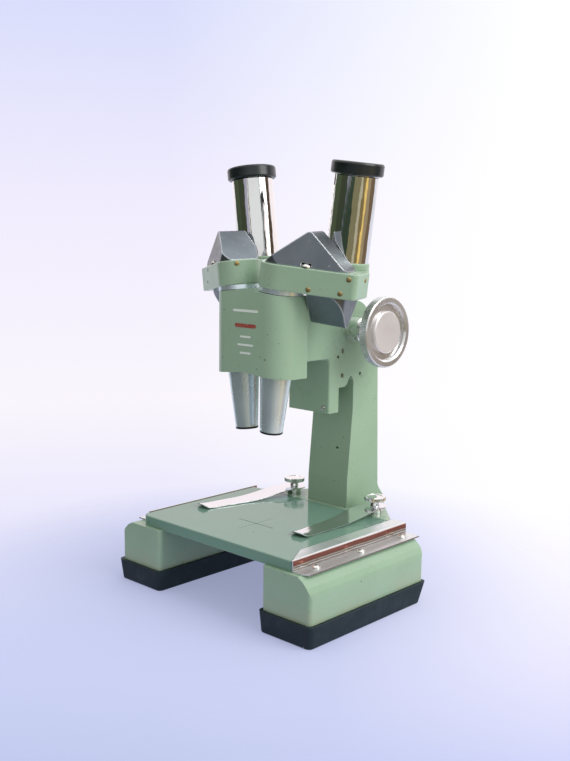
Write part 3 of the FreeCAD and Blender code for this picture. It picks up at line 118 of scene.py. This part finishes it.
BEVEL_SAMPLES = 4
EDGE_NONE = 0.99
EDGE_FULL = 0.86


class Nodes(Tree):
    """One material's node tree."""

    def __init__(self, name):
        self.material = bpy.data.materials.new(name)
        self.material.use_nodes = True
        super().__init__(self.material.node_tree)
        self.shader = self.tree.nodes["Principled BSDF"]
        self.place = self.add("ShaderNodeTexCoord").outputs["Object"]

    def noise(self, scale, detail=4.0, roughness=0.55, stretch=None):
        """Noise over the object, in features per metre; stretch makes streaks."""
        node = self.add("ShaderNodeTexNoise")
        node.inputs["Scale"].default_value = scale
        node.inputs["Detail"].default_value = detail
        node.inputs["Roughness"].default_value = roughness
        place = self.place
        if stretch:
            mapping = self.add("ShaderNodeMapping")
            mapping.inputs["Scale"].default_value = stretch
            self.join(place, mapping.inputs["Vector"])
            place = mapping.outputs["Vector"]
        self.join(place, node.inputs["Vector"])
        return node.outputs["Fac"]

    def maths(self, operation, first, second):
        node = self.add("ShaderNodeMath", operation=operation)
        self.feed(node.inputs[0], first)
        self.feed(node.inputs[1], second)
        return node.outputs["Value"]

    def coordinate(self, vector, axis):
        node = self.add("ShaderNodeSeparateXYZ")
        self.join(vector, node.inputs["Vector"])
        return node.outputs[axis]

    def facing(self, axis, low, high):
        """0 to 1 as the surface turns to face along an axis, either way."""
        normal = self.add("ShaderNodeNewGeometry").outputs["Normal"]
        return self.span(self.maths("ABSOLUTE", self.coordinate(normal, axis), 0.0), low, high)

    def rounded_normal(self, radius):
        """The surface normal as if sharp edges had a radius."""
        bevel = self.add("ShaderNodeBevel", samples=BEVEL_SAMPLES)
        bevel.inputs["Radius"].default_value = radius
        return bevel.outputs["Normal"]

    def edges(self, radius):
        """About 1 on sharp outer and inner edges, 0 on flat ground."""
        flat = self.add("ShaderNodeNewGeometry").outputs["Normal"]
        return self.span(self.along(self.rounded_normal(radius), flat), EDGE_NONE, EDGE_FULL)

    def bump(self, height, strength, distance, soft_edge=None):
        """Surface relief, with an optional rounding of sharp edges."""
        node = self.add("ShaderNodeBump")
        node.inputs["Strength"].default_value = strength
        node.inputs["Distance"].default_value = distance
        self.join(height, node.inputs["Height"])
        if soft_edge:
            self.join(self.rounded_normal(soft_edge), node.inputs["Normal"])
        self.join(node.outputs["Normal"], self.shader.inputs["Normal"])

    def surface(self, **values):
        """Set the shader's inputs by their names, with _ for a space."""
        for key, value in values.items():
            self.feed(self.shader.inputs[key.replace("_", " ")], value)
        return self.material


def rgb(red, green, blue):
    return (red, green, blue, 1.0)


# ---------------------------------------------------------------- materials

SOIL_FULL = 12 * MM
SOIL_END = 24 * MM


def enamel(name, paint, shade, gloss, coat, chips):
    """Sprayed enamel: slight orange peel, uneven tone, dark specks, worn edges and a painted highlight along sharp
    edges.
    """
    n = Nodes(name)
    tone = n.mix(n.span(n.noise(14, 3), 0.35, 0.65), paint, shade)
    grime = n.span(n.noise(60, 6, 0.65), 0.56, 0.80, 0.0, 0.22)
    tone = n.mix(grime, tone, rgb(0.20, 0.24, 0.13))
    soil = n.span(n.coordinate(n.place, "Z"), SOIL_FULL, SOIL_END, 0.45, 0.0)
    tone = n.mix(n.maths("MULTIPLY", soil, n.span(n.noise(70, 4), 0.3, 0.6)), tone, rgb(0.33, 0.32, 0.19))
    specks = n.span(n.noise(420, 2, 0.4), 0.745, 0.765, 0.0, 0.8)
    tone = n.mix(specks, tone, rgb(0.05, 0.045, 0.03))
    edge = n.edges(0.0006)
    # Painted highlight: sharp edges are lightened towards a paler green.
    tone = n.mix(n.maths("MULTIPLY", edge, 0.30), tone, rgb(0.62, 0.72, 0.60))
    flakes = n.maths("MULTIPLY", edge, n.span(n.noise(210, 5, 0.6), 0.62 - 0.1 * chips, 0.68))
    tone = n.mix(flakes, tone, rgb(0.16, 0.13, 0.09))
    rough = n.span(n.noise(45, 5), 0.3, 0.7, gloss * 0.8, gloss * 1.3)
    n.bump(n.noise(520, 2, 0.4), 0.10, 0.0004, soft_edge=0.0005)
    return n.surface(Base_Color=tone, Roughness=rough, Coat_Weight=coat, Coat_Roughness=0.12,
                     Specular_IOR_Level=0.4)


def chrome(name, tint, gloss, streak=None):
    """Polished plating with fine wipe marks, a little tarnish and small pits."""
    n = Nodes(name)
    haze = n.span(n.noise(38, 5, 0.6), 0.5, 0.75, 0.0, 0.35)
    tone = n.mix(haze, tint, rgb(0.52, 0.49, 0.42))
    pits = n.span(n.noise(700, 3, 0.5), 0.74, 0.77, 0.0, 0.6)
    tone = n.mix(pits, tone, rgb(0.12, 0.09, 0.05))
    wipe = n.noise(90, 6, 0.7, stretch=streak or (9, 9, 0.6))
    rough = n.span(wipe, 0.35, 0.75, gloss, gloss + 0.09)
    n.bump(n.noise(55, 3, 0.5, stretch=streak or (3, 3, 0.7)), 0.55, 0.0004, soft_edge=0.0002)
    return n.surface(Base_Color=tone, Metallic=1.0, Roughness=rough)


# The web of a rail, and its long bands of painted reflection from the foot to the lip.
WEB_FOOT = 37.4 * MM
WEB_TOP = 44.0 * MM
WEB_WAVER = 0.4 * MM
WEB_REFLECTION_BANDS = [
    (0.00, rgb(0.28, 0.24, 0.22)),
    (0.16, rgb(0.40, 0.34, 0.31)),
    (0.24, rgb(0.85, 0.82, 0.80)),
    (0.31, rgb(0.10, 0.07, 0.05)),
    (0.42, rgb(0.60, 0.55, 0.50)),
    (0.50, rgb(0.20, 0.08, 0.06)),
    (0.80, rgb(0.36, 0.13, 0.10)),
    (0.96, rgb(0.80, 0.70, 0.68)),
]


def rail_metal(name):
    """Bright sheet steel: its upright web carries a painted reflection in long reddish, light and dark bands."""
    n = Nodes(name)
    web = n.facing("X", 0.55, 0.85)
    waver = n.span(n.noise(30, 3, 0.5, stretch=(1, 1, 0)), 0.3, 0.7, -WEB_WAVER, WEB_WAVER)
    height = n.maths("ADD", n.coordinate(n.place, "Z"), waver)
    # Painted reflection: light, dark and reddish bands up the web, by height.
    bands = n.ramp(n.span(height, WEB_FOOT, WEB_TOP), WEB_REFLECTION_BANDS)
    tone = n.mix(web, rgb(0.70, 0.73, 0.74), bands)
    rust = n.span(n.noise(260, 4, 0.6), 0.66, 0.72, 0.0, 0.6)
    tone = n.mix(rust, tone, rgb(0.24, 0.12, 0.07))
    wipe = n.noise(90, 6, 0.7, stretch=(3, 0.25, 3))
    n.bump(wipe, 0.03, 0.0002, soft_edge=0.0003)
    rough = n.maths("ADD", n.span(wipe, 0.3, 0.75, 0.24, 0.38), n.maths("MULTIPLY", web, -0.12))
    return n.surface(Base_Color=tone, Metallic=0.75, Roughness=rough)


def turned_metal(name, tint, gloss, metallic, rings, axis, centre):
    """Metal with fine tool marks round an axis, as a lathe leaves them."""
    n = Nodes(name)
    grooves = ring_pattern(n, rings, axis, centre)
    darker = rgb(*(0.86 * part for part in tint[:3]))
    tone = n.mix(n.span(n.noise(30, 4), 0.4, 0.7), tint, darker)
    tone = n.mix(n.maths("MULTIPLY", grooves, 0.16), tone, rgb(0.9, 0.9, 0.9))
    rough = n.span(n.noise(55, 4), 0.3, 0.7, gloss, gloss + 0.12)
    n.bump(grooves, 0.10, 0.0001, soft_edge=0.0002)
    return n.surface(Base_Color=tone, Metallic=metallic, Roughness=rough, Anisotropic=0.5)


def ring_pattern(n, rings, axis, centre):
    """Noise that changes only with the distance along an axis and away from it."""
    away = n.vector_maths("SUBTRACT", n.place, centre).outputs["Vector"]
    across = n.vector_maths("CROSS_PRODUCT", away, axis).outputs["Vector"]
    pair = n.add("ShaderNodeCombineXYZ")
    n.join(n.along(away, axis), pair.inputs["X"])
    n.join(n.vector_maths("LENGTH", across).outputs["Value"], pair.inputs["Y"])
    noise = n.add("ShaderNodeTexNoise")
    noise.inputs["Scale"].default_value = rings
    noise.inputs["Detail"].default_value = 5
    n.join(pair.outputs["Vector"], noise.inputs["Vector"])
    return noise.outputs["Fac"]


def cast_alloy(name):
    """Grey die-cast alloy, faintly grained, rubbed bright along its edges."""
    n = Nodes(name)
    tone = n.mix(n.span(n.noise(40, 5, 0.6), 0.3, 0.7), rgb(0.13, 0.155, 0.175), rgb(0.185, 0.21, 0.235))
    edge = n.maths("MULTIPLY", n.edges(0.0011), 0.85)
    tone = n.mix(edge, tone, rgb(0.84, 0.86, 0.90))
    specks = n.span(n.noise(600, 3, 0.5), 0.70, 0.76, 0.0, 0.7)
    tone = n.mix(specks, tone, rgb(0.75, 0.78, 0.82))
    rough = n.span(n.noise(300, 4), 0.3, 0.7, 0.30, 0.42)
    n.bump(n.noise(1100, 3, 0.6), 0.16, 0.0002, soft_edge=0.0010)
    return n.surface(Base_Color=tone, Metallic=0.85, Roughness=rough)


def rubber(name):
    """Old black rubber: dusty, faintly mottled, with small pale nicks and a painted highlight along its edges."""
    n = Nodes(name)
    dust = n.span(n.noise(120, 6, 0.7), 0.52, 0.80, 0.0, 0.35)
    tone = n.mix(dust, rgb(0.011, 0.021, 0.026), rgb(0.050, 0.075, 0.088))
    nicks = n.span(n.noise(420, 3, 0.5), 0.765, 0.79, 0.0, 0.8)
    tone = n.mix(nicks, tone, rgb(0.35, 0.36, 0.38))
    # Painted highlight: sharp edges are lightened to a bluish grey.
    edge = n.maths("MULTIPLY", n.edges(0.0007), 0.35)
    tone = n.mix(edge, tone, rgb(0.08, 0.10, 0.12))
    n.bump(n.noise(700, 5, 0.6), 0.25, 0.0003, soft_edge=0.0006)
    return n.surface(Base_Color=tone, Roughness=n.span(n.noise(80, 4), 0.3, 0.7, 0.45, 0.65),
                     Specular_IOR_Level=0.22)


def black_plastic(name, gloss):
    """Black plastic or paint with a dull bloom."""
    n = Nodes(name)
    bloom = n.span(n.noise(90, 5, 0.6), 0.45, 0.75, 0.0, 0.5)
    tone = n.mix(bloom, rgb(0.006, 0.010, 0.011), rgb(0.018, 0.030, 0.030))
    n.bump(n.noise(1500, 3, 0.5), 0.08, 0.0002, soft_edge=0.0002)
    return n.surface(Base_Color=tone, Roughness=n.span(n.noise(120, 3), 0.3, 0.7, gloss, gloss + 0.14),
                     Specular_IOR_Level=0.55)


def glass(name):
    """Coated optical glass with a faint dust veil."""
    n = Nodes(name)
    dust = n.span(n.noise(500, 5, 0.6), 0.5, 0.8, 0.01, 0.10)
    n.bump(n.noise(60, 2), 0.01, 0.0002)
    return n.surface(Base_Color=rgb(0.80, 0.90, 0.95), Roughness=dust, Transmission_Weight=1.0, IOR=1.52,
                     Coat_Weight=0.3, Coat_Tint=rgb(0.75, 0.6, 0.95))


def printed(name, ink):
    """Worn printing ink."""
    n = Nodes(name)
    wear = n.span(n.noise(900, 4, 0.6), 0.55, 0.70, 0.0, 0.7)
    tone = n.mix(wear, ink, rgb(0.33, 0.45, 0.32))
    n.bump(n.noise(1200, 2), 0.05, 0.0001)
    return n.surface(Base_Color=tone, Roughness=0.45)


FLOOR_TONE = rgb(0.26, 0.275, 0.37)
FLOOR_SHADE = rgb(0.28, 0.295, 0.39)
# Painted light: the sheet's own glow, plain near the microscope and stronger towards the window side, and where
# the one passes into the other.
FLOOR_GLOW = rgb(0.265, 0.29, 0.43)
FLOOR_GLARE = rgb(0.68, 0.63, 0.63)
FLOOR_GLOW_END = 0.02
FLOOR_GLARE_START = 0.22
FLOOR_SOLID = 0.10
FLOOR_GONE = 0.25


def bench_paper(name):
    """The pale sheet under the microscope, glowing with painted light that fills its shadows and grows stronger
    towards the window side as a painted pool of window light; it thins out into the backdrop further away.
    """
    n = Nodes(name)
    tone = n.mix(n.span(n.noise(3, 3), 0.3, 0.7), FLOOR_TONE, FLOOR_SHADE)
    dirt = n.span(n.noise(75, 3, 0.4), 0.79, 0.81, 0.0, 0.35)
    tone = n.mix(dirt, tone, rgb(0.35, 0.36, 0.42))
    sideways = n.along(n.place, WINDOW_SIDE)
    # Painted light: the sheet glows by itself, more strongly towards the window side.
    painted_glow = n.mix(n.span(sideways, FLOOR_GLOW_END, FLOOR_GLARE_START), FLOOR_GLOW, FLOOR_GLARE)
    n.surface(Base_Color=tone, Roughness=0.9, Specular_IOR_Level=0.0,
              Emission_Color=painted_glow, Emission_Strength=1.0)
    distance = n.vector_maths("LENGTH", n.place).outputs["Value"]
    blend = n.add("ShaderNodeMixShader")
    n.join(n.span(distance, FLOOR_SOLID, FLOOR_GONE), blend.inputs["Fac"])
    n.join(n.shader.outputs["BSDF"], blend.inputs[1])
    n.join(n.add("ShaderNodeBsdfTransparent").outputs["BSDF"], blend.inputs[2])
    n.join(blend.outputs["Shader"], n.tree.nodes["Material Output"].inputs["Surface"])
    return n.material


JOINTS = {joint["name"]: joint for joint in frame["joints"]}
UPRIGHT = {"axis": (0, 0, 1), "centre": (0, -0.029, 0)}
SHAFT = {"axis": (1, 0, 0), "centre": tuple(JOINTS["focus_turn"]["pos_m"])}

# How each slot is finished: the recipe and its settings.
FINISHES = {
    "green_enamel": (enamel, {"paint": rgb(0.275, 0.405, 0.285), "shade": rgb(0.245, 0.365, 0.255),
                              "gloss": 0.30, "coat": 0.25, "chips": 0.5}),
    "stage_enamel": (enamel, {"paint": rgb(0.150, 0.270, 0.210), "shade": rgb(0.140, 0.255, 0.195),
                              "gloss": 0.09, "coat": 0.0, "chips": 0.2}),
    "boot_rubber": (rubber, {}),
    "rail_steel": (rail_metal, {}),
    "clip_steel": (chrome, {"tint": rgb(0.80, 0.81, 0.83), "gloss": 0.10, "streak": (3, 0.3, 3)}),
    "polished_chrome": (chrome, {"tint": rgb(0.83, 0.83, 0.82), "gloss": 0.035}),
    "turned_alloy": (turned_metal, {"tint": rgb(0.80, 0.93, 1.00), "gloss": 0.22, "metallic": 0.74,
                                    "rings": 3500, **UPRIGHT}),
    "knob_inlay": (turned_metal, {"tint": rgb(0.78, 0.74, 0.74), "gloss": 0.30, "metallic": 0.6,
                                  "rings": 3000, **SHAFT}),
    "satin_chrome": (turned_metal, {"tint": rgb(0.76, 0.76, 0.76), "gloss": 0.20, "metallic": 0.88,
                                    "rings": 2600, **SHAFT}),
    "cast_cover": (cast_alloy, {}),
    "black_metal": (black_plastic, {"gloss": 0.25}),
    "black_plastic": (black_plastic, {"gloss": 0.22}),
    "screw_steel": (chrome, {"tint": rgb(0.62, 0.60, 0.56), "gloss": 0.16}),
    "bare_brass": (chrome, {"tint": rgb(0.50, 0.38, 0.17), "gloss": 0.25}),
    "lens_glass": (glass, {}),
}
MATERIALS = {slot: recipe(slot, **settings) for slot, (recipe, settings) in FINISHES.items()}


def dress_nodes():
    """Give every CAD node the material of its slot."""
    slots = {entry["node"]: entry["material_slot"] for entry in frame["record"]["subparts"]}
    for name, thing in frame["nodes"].items():
        material = MATERIALS[slots[name]]
        if not thing.material_slots:
            thing.data.materials.append(material)
        for place in thing.material_slots:
            place.material = material


# ---------------------------------------------------------------- pieces

def new_piece(name, mesh, body, material):
    """A finished piece: it rides on a body and wears the given material."""
    piece = bpy.data.objects.new(name, mesh)
    bpy.context.scene.collection.objects.link(piece)
    piece.data.materials.append(material)
    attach(piece, body)
    return piece


ARC_STEPS = 6


def rounded_bar(centre, width, height, depth):
    """A thin bar with rounded ends, standing on a wall that faces -Y."""
    mesh = bpy.data.meshes.new("bar")
    build = bmesh.new()
    radius = min(width, height) / 2
    ring = []
    for sign in (1, -1):
        for step in range(ARC_STEPS + 1):
            angle = math.pi * (step / ARC_STEPS - 0.5)
            ring.append((sign * ((width / 2 - radius) + radius * math.cos(angle)),
                         sign * radius * math.sin(angle)))
    back = [build.verts.new((centre[0] + x, centre[1], centre[2] + z)) for x, z in ring]
    front = [build.verts.new((centre[0] + x, centre[1] - depth, centre[2] + z)) for x, z in ring]
    build.faces.new(front)
    build.faces.new(list(reversed(back)))
    for index in range(len(ring)):
        following = (index + 1) % len(ring)
        build.faces.new((back[index], back[following], front[following], front[index]))
    bmesh.ops.recalc_face_normals(build, faces=build.faces)
    build.to_mesh(mesh)
    build.free()
    return mesh


# The printed bars on the head: name, drop from its top, width and height in mm, and ink.
MARK_SHIFT = 1.3
MARK_THICKNESS = 0.06
WHITE_INK = "white_ink"
RED_INK = "red_ink"
MARKS = [
    ("mark_wide", 12.4, 20.0, 1.4, WHITE_INK),
    ("mark_red", 20.8, 17.0, 2.2, RED_INK),
    ("mark_first", 27.0, 8.5, 1.1, WHITE_INK),
    ("mark_second", 31.6, 12.5, 1.1, WHITE_INK),
    ("mark_third", 36.2, 8.5, 1.1, WHITE_INK),
]


def add_face_marks():
    """Plain printed bars on the front of the head: two long ones and three short ones."""
    low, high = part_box("head_body")
    inks = {WHITE_INK: printed(WHITE_INK, rgb(0.62, 0.70, 0.64)),
            RED_INK: printed(RED_INK, rgb(0.30, 0.045, 0.03))}
    for name, drop, width, height, ink in MARKS:
        centre = (MARK_SHIFT * MM, low[1], high[2] - drop * MM)
        mesh = rounded_bar(centre, width * MM, height * MM, MARK_THICKNESS * MM)
        new_piece(name, mesh, "focus_carriage", inks[ink])


def flat_strip(centre, width, length):
    """One level rectangle."""
    mesh = bpy.data.meshes.new("strip")
    half_width, half_length = width / 2, length / 2
    corners = [(-half_width, -half_length), (half_width, -half_length),
               (half_width, half_length), (-half_width, half_length)]
    mesh.from_pydata([(centre[0] + x, centre[1] + y, centre[2]) for x, y in corners], [], [(0, 1, 2, 3)])
    return mesh


CROSS_BACK = 35.2 * MM
CROSS_ARM = 27.9 * MM
CROSS_LINE = 0.58 * MM
GROOVE_DEPTH = 0.30 * MM
INK_LIFT = 0.02 * MM


def add_cross_ink():
    """Dark paint in the engraved centre mark: two strips, one a hair above the other."""
    low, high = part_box("stage_plate")
    centre = (0, low[1] + CROSS_BACK, high[2] - GROOVE_DEPTH)
    above = (centre[0], centre[1], centre[2] + INK_LIFT)
    ink = printed("cross_ink", rgb(0.05, 0.07, 0.06))
    new_piece("cross_ink_across", flat_strip(centre, CROSS_ARM, CROSS_LINE), "stand", ink)
    new_piece("cross_ink_along", flat_strip(above, CROSS_LINE, CROSS_ARM), "stand", ink)


# ---------------------------------------------------------------- floor, camera and light

FLOOR_SIDES = 96


def add_floor():
    """A round pale sheet."""
    mesh = bpy.data.meshes.new("floor")
    build = bmesh.new()
    bmesh.ops.create_circle(build, cap_ends=True, segments=FLOOR_SIDES, radius=FLOOR_GONE)
    build.to_mesh(mesh)
    build.free()
    floor = bpy.data.objects.new("floor", mesh)
    bpy.context.scene.collection.objects.link(floor)
    floor.data.materials.append(bench_paper("bench_paper"))


# The camera's roll is in radians, its lens and sensor in mm.
CAMERA_YAW = math.radians(43.06)
CAMERA_PITCH = math.radians(8.21)
CAMERA_ROLL = 0.01335
CAMERA_PLACE = Vector((0.38862, -0.42342, 0.20749))
CAMERA_LENS = 45.96
CAMERA_SENSOR = 36.0
CAMERA_NEAR = 0.01


def add_camera():
    """The viewpoint: in front and to the right, slightly above the head."""
    ahead_level = Vector((-math.sin(CAMERA_YAW), math.cos(CAMERA_YAW), 0))
    right_level = Vector((math.cos(CAMERA_YAW), math.sin(CAMERA_YAW), 0))
    upward = Vector((0, 0, 1))
    ahead = ahead_level * math.cos(CAMERA_PITCH) - upward * math.sin(CAMERA_PITCH)
    above = upward * math.cos(CAMERA_PITCH) + ahead_level * math.sin(CAMERA_PITCH)
    right = right_level * math.cos(CAMERA_ROLL) + above * math.sin(CAMERA_ROLL)
    above = above * math.cos(CAMERA_ROLL) - right_level * math.sin(CAMERA_ROLL)
    camera = bpy.data.objects.new("camera", bpy.data.cameras.new("camera"))
    camera.data.lens = CAMERA_LENS
    camera.data.sensor_width = CAMERA_SENSOR
    camera.data.sensor_fit = "AUTO"
    camera.data.clip_start = CAMERA_NEAR
    turn = Matrix((right, above, -ahead)).transposed()
    camera.matrix_world = Matrix.Translation(CAMERA_PLACE) @ turn.to_4x4()
    bpy.context.scene.collection.objects.link(camera)
    bpy.context.scene.camera = camera


LIT_POINT = Vector((0, 0, 0.12))


def add_softbox(name, place, size, power, tint):
    """A rectangular lamp that points at the middle of the microscope."""
    light = bpy.data.lights.new(name, "AREA")
    light.shape = "RECTANGLE"
    light.size, light.size_y = size
    light.energy = power
    light.color = tint
    lamp = bpy.data.objects.new(name, light)
    lamp.location = place
    lamp.rotation_euler = (LIT_POINT - Vector(place)).to_track_quat("-Z", "Y").to_euler()
    bpy.context.scene.collection.objects.link(lamp)


def add_lights():
    add_softbox("key", place=(1.15, 0.25, 0.95), size=(0.9, 1.2), power=14, tint=(1.0, 0.99, 0.96))
    add_softbox("top", place=(-0.1, 0.2, 1.5), size=(1.4, 1.4), power=5, tint=(1.0, 1.0, 1.0))


class World(Tree):
    """The room's node tree."""

    def __init__(self):
        world = bpy.data.worlds.new("studio")
        bpy.context.scene.world = world
        world.use_nodes = True
        super().__init__(world.node_tree)
        self.tree.nodes.clear()
        self.direction = self.add("ShaderNodeTexCoord").outputs["Generated"]

    def towards(self, axis):
        """How far the direction of view points along an axis, from -1 to 1."""
        return self.along(self.direction, axis)

    def azimuth(self):
        """0 to 1 round the room, from -X through -Y, +X and +Y back to -X."""
        angle = self.add("ShaderNodeMath", operation="ARCTAN2")
        self.join(self.towards((0, 1, 0)), angle.inputs[0])
        self.join(self.towards((1, 0, 0)), angle.inputs[1])
        return self.span(angle.outputs["Value"], -math.pi, math.pi)

    def bands(self, value, bands):
        """Flat bands of colour with slightly soft borders; each is (end, colour)."""
        stops = []
        start = 0.0
        for end, tone in bands:
            stops.append((start + BAND_BLUR, tone))
            stops.append((end - BAND_BLUR, tone))
            start = end
        return self.ramp(value, stops)


BAND_BLUR = 0.003
CEILING = rgb(1.15, 1.15, 1.18)

# An invented room that only glossy rays see, so that polished metal has something to reflect.
# Above the bench, round the room from -X through -Y, +X and +Y:
HIGH_BANDS = [
    (0.020, rgb(1.10, 1.06, 1.10)),
    (0.130, rgb(0.07, 0.09, 0.05)),
    (0.230, rgb(0.05, 0.06, 0.035)),
    (0.280, rgb(0.42, 0.40, 0.50)),
    (0.287, rgb(1.00, 0.98, 0.95)),
    (0.298, rgb(0.16, 0.11, 0.06)),
    (0.475, rgb(0.84, 0.85, 0.86)),
    (0.520, rgb(0.11, 0.15, 0.19)),
    (0.560, rgb(0.30, 0.36, 0.42)),
    (0.590, rgb(1.20, 1.20, 1.20)),
    (0.656, rgb(0.09, 0.06, 0.04)),
    (1.000, rgb(1.12, 1.02, 1.05)),
]

# Below the edge of the bench:
LOW_BANDS = [
    (0.025, rgb(0.75, 0.78, 0.88)),
    (0.340, rgb(0.035, 0.055, 0.035)),
    (0.430, rgb(0.22, 0.20, 0.11)),
    (0.465, rgb(0.50, 0.46, 0.34)),
    (0.515, rgb(0.24, 0.18, 0.08)),
    (0.545, rgb(0.95, 0.66, 0.20)),
    (0.600, rgb(0.36, 0.28, 0.17)),
    (0.680, rgb(0.19, 0.13, 0.08)),
    (1.000, rgb(0.85, 0.86, 0.97)),
]

# The backdrop that the camera sees, from the floor upwards, on its left and on its right.
BACKDROP_LEFT = [
    (0.02, rgb(0.54, 0.60, 0.85)),
    (0.14, rgb(0.61, 0.66, 0.94)),
    (0.29, rgb(0.81, 0.80, 0.98)),
    (0.45, rgb(0.96, 0.92, 0.98)),
    (0.72, rgb(0.875, 0.84, 0.99)),
    (0.96, rgb(0.70, 0.73, 0.97)),
]
BACKDROP_RIGHT = [
    (0.02, rgb(0.62, 0.66, 0.95)),
    (0.14, rgb(0.80, 0.78, 0.98)),
    (0.24, rgb(0.95, 0.93, 0.99)),
    (0.34, rgb(1.02, 1.02, 1.02)),
    (1.00, rgb(1.03, 1.03, 1.03)),
]

# Soft light from the room, from the dark side to the window side.
ROOM_LIGHT = [
    (0.0, rgb(0.62, 0.60, 0.62)),
    (0.5, rgb(0.78, 0.75, 0.75)),
    (1.0, rgb(1.05, 1.03, 1.02)),
]

# Where one part of the room passes into the next, as a share of the direction's length.
BACKDROP_RISE = (-0.5, 0.25)
BACKDROP_TURN = (-0.12, 0.25)
ROOM_TURN = (-0.9, 0.9)
BENCH_EDGE = (-0.06, 0.04)
CEILING_EDGE = (0.45, 0.65)


def add_world():
    """A pale backdrop for the camera, soft light for matt things and a room for shiny ones."""
    w = World()
    height = w.towards((0, 0, 1))
    sideways = w.towards(WINDOW_SIDE)
    rise = w.span(height, *BACKDROP_RISE)
    backdrop = w.mix(w.span(sideways, *BACKDROP_TURN),
                     w.ramp(rise, BACKDROP_LEFT), w.ramp(rise, BACKDROP_RIGHT))
    room = w.ramp(w.span(sideways, *ROOM_TURN), ROOM_LIGHT)
    azimuth = w.azimuth()
    walls = w.mix(w.span(height, *BENCH_EDGE), w.bands(azimuth, LOW_BANDS), w.bands(azimuth, HIGH_BANDS))
    walls = w.mix(w.span(height, *CEILING_EDGE), walls, CEILING)
    path = w.add("ShaderNodeLightPath")
    seen = w.mix(path.outputs["Is Glossy Ray"], room, walls)
    seen = w.mix(path.outputs["Is Camera Ray"], seen, backdrop)
    shade = w.add("ShaderNodeBackground")
    w.join(seen, shade.inputs["Color"])
    w.join(shade.outputs["Background"], w.add("ShaderNodeOutputWorld").inputs["Surface"])


dress_nodes()
add_face_marks()
add_cross_ink()
add_floor()
add_world()
add_lights()
add_camera()
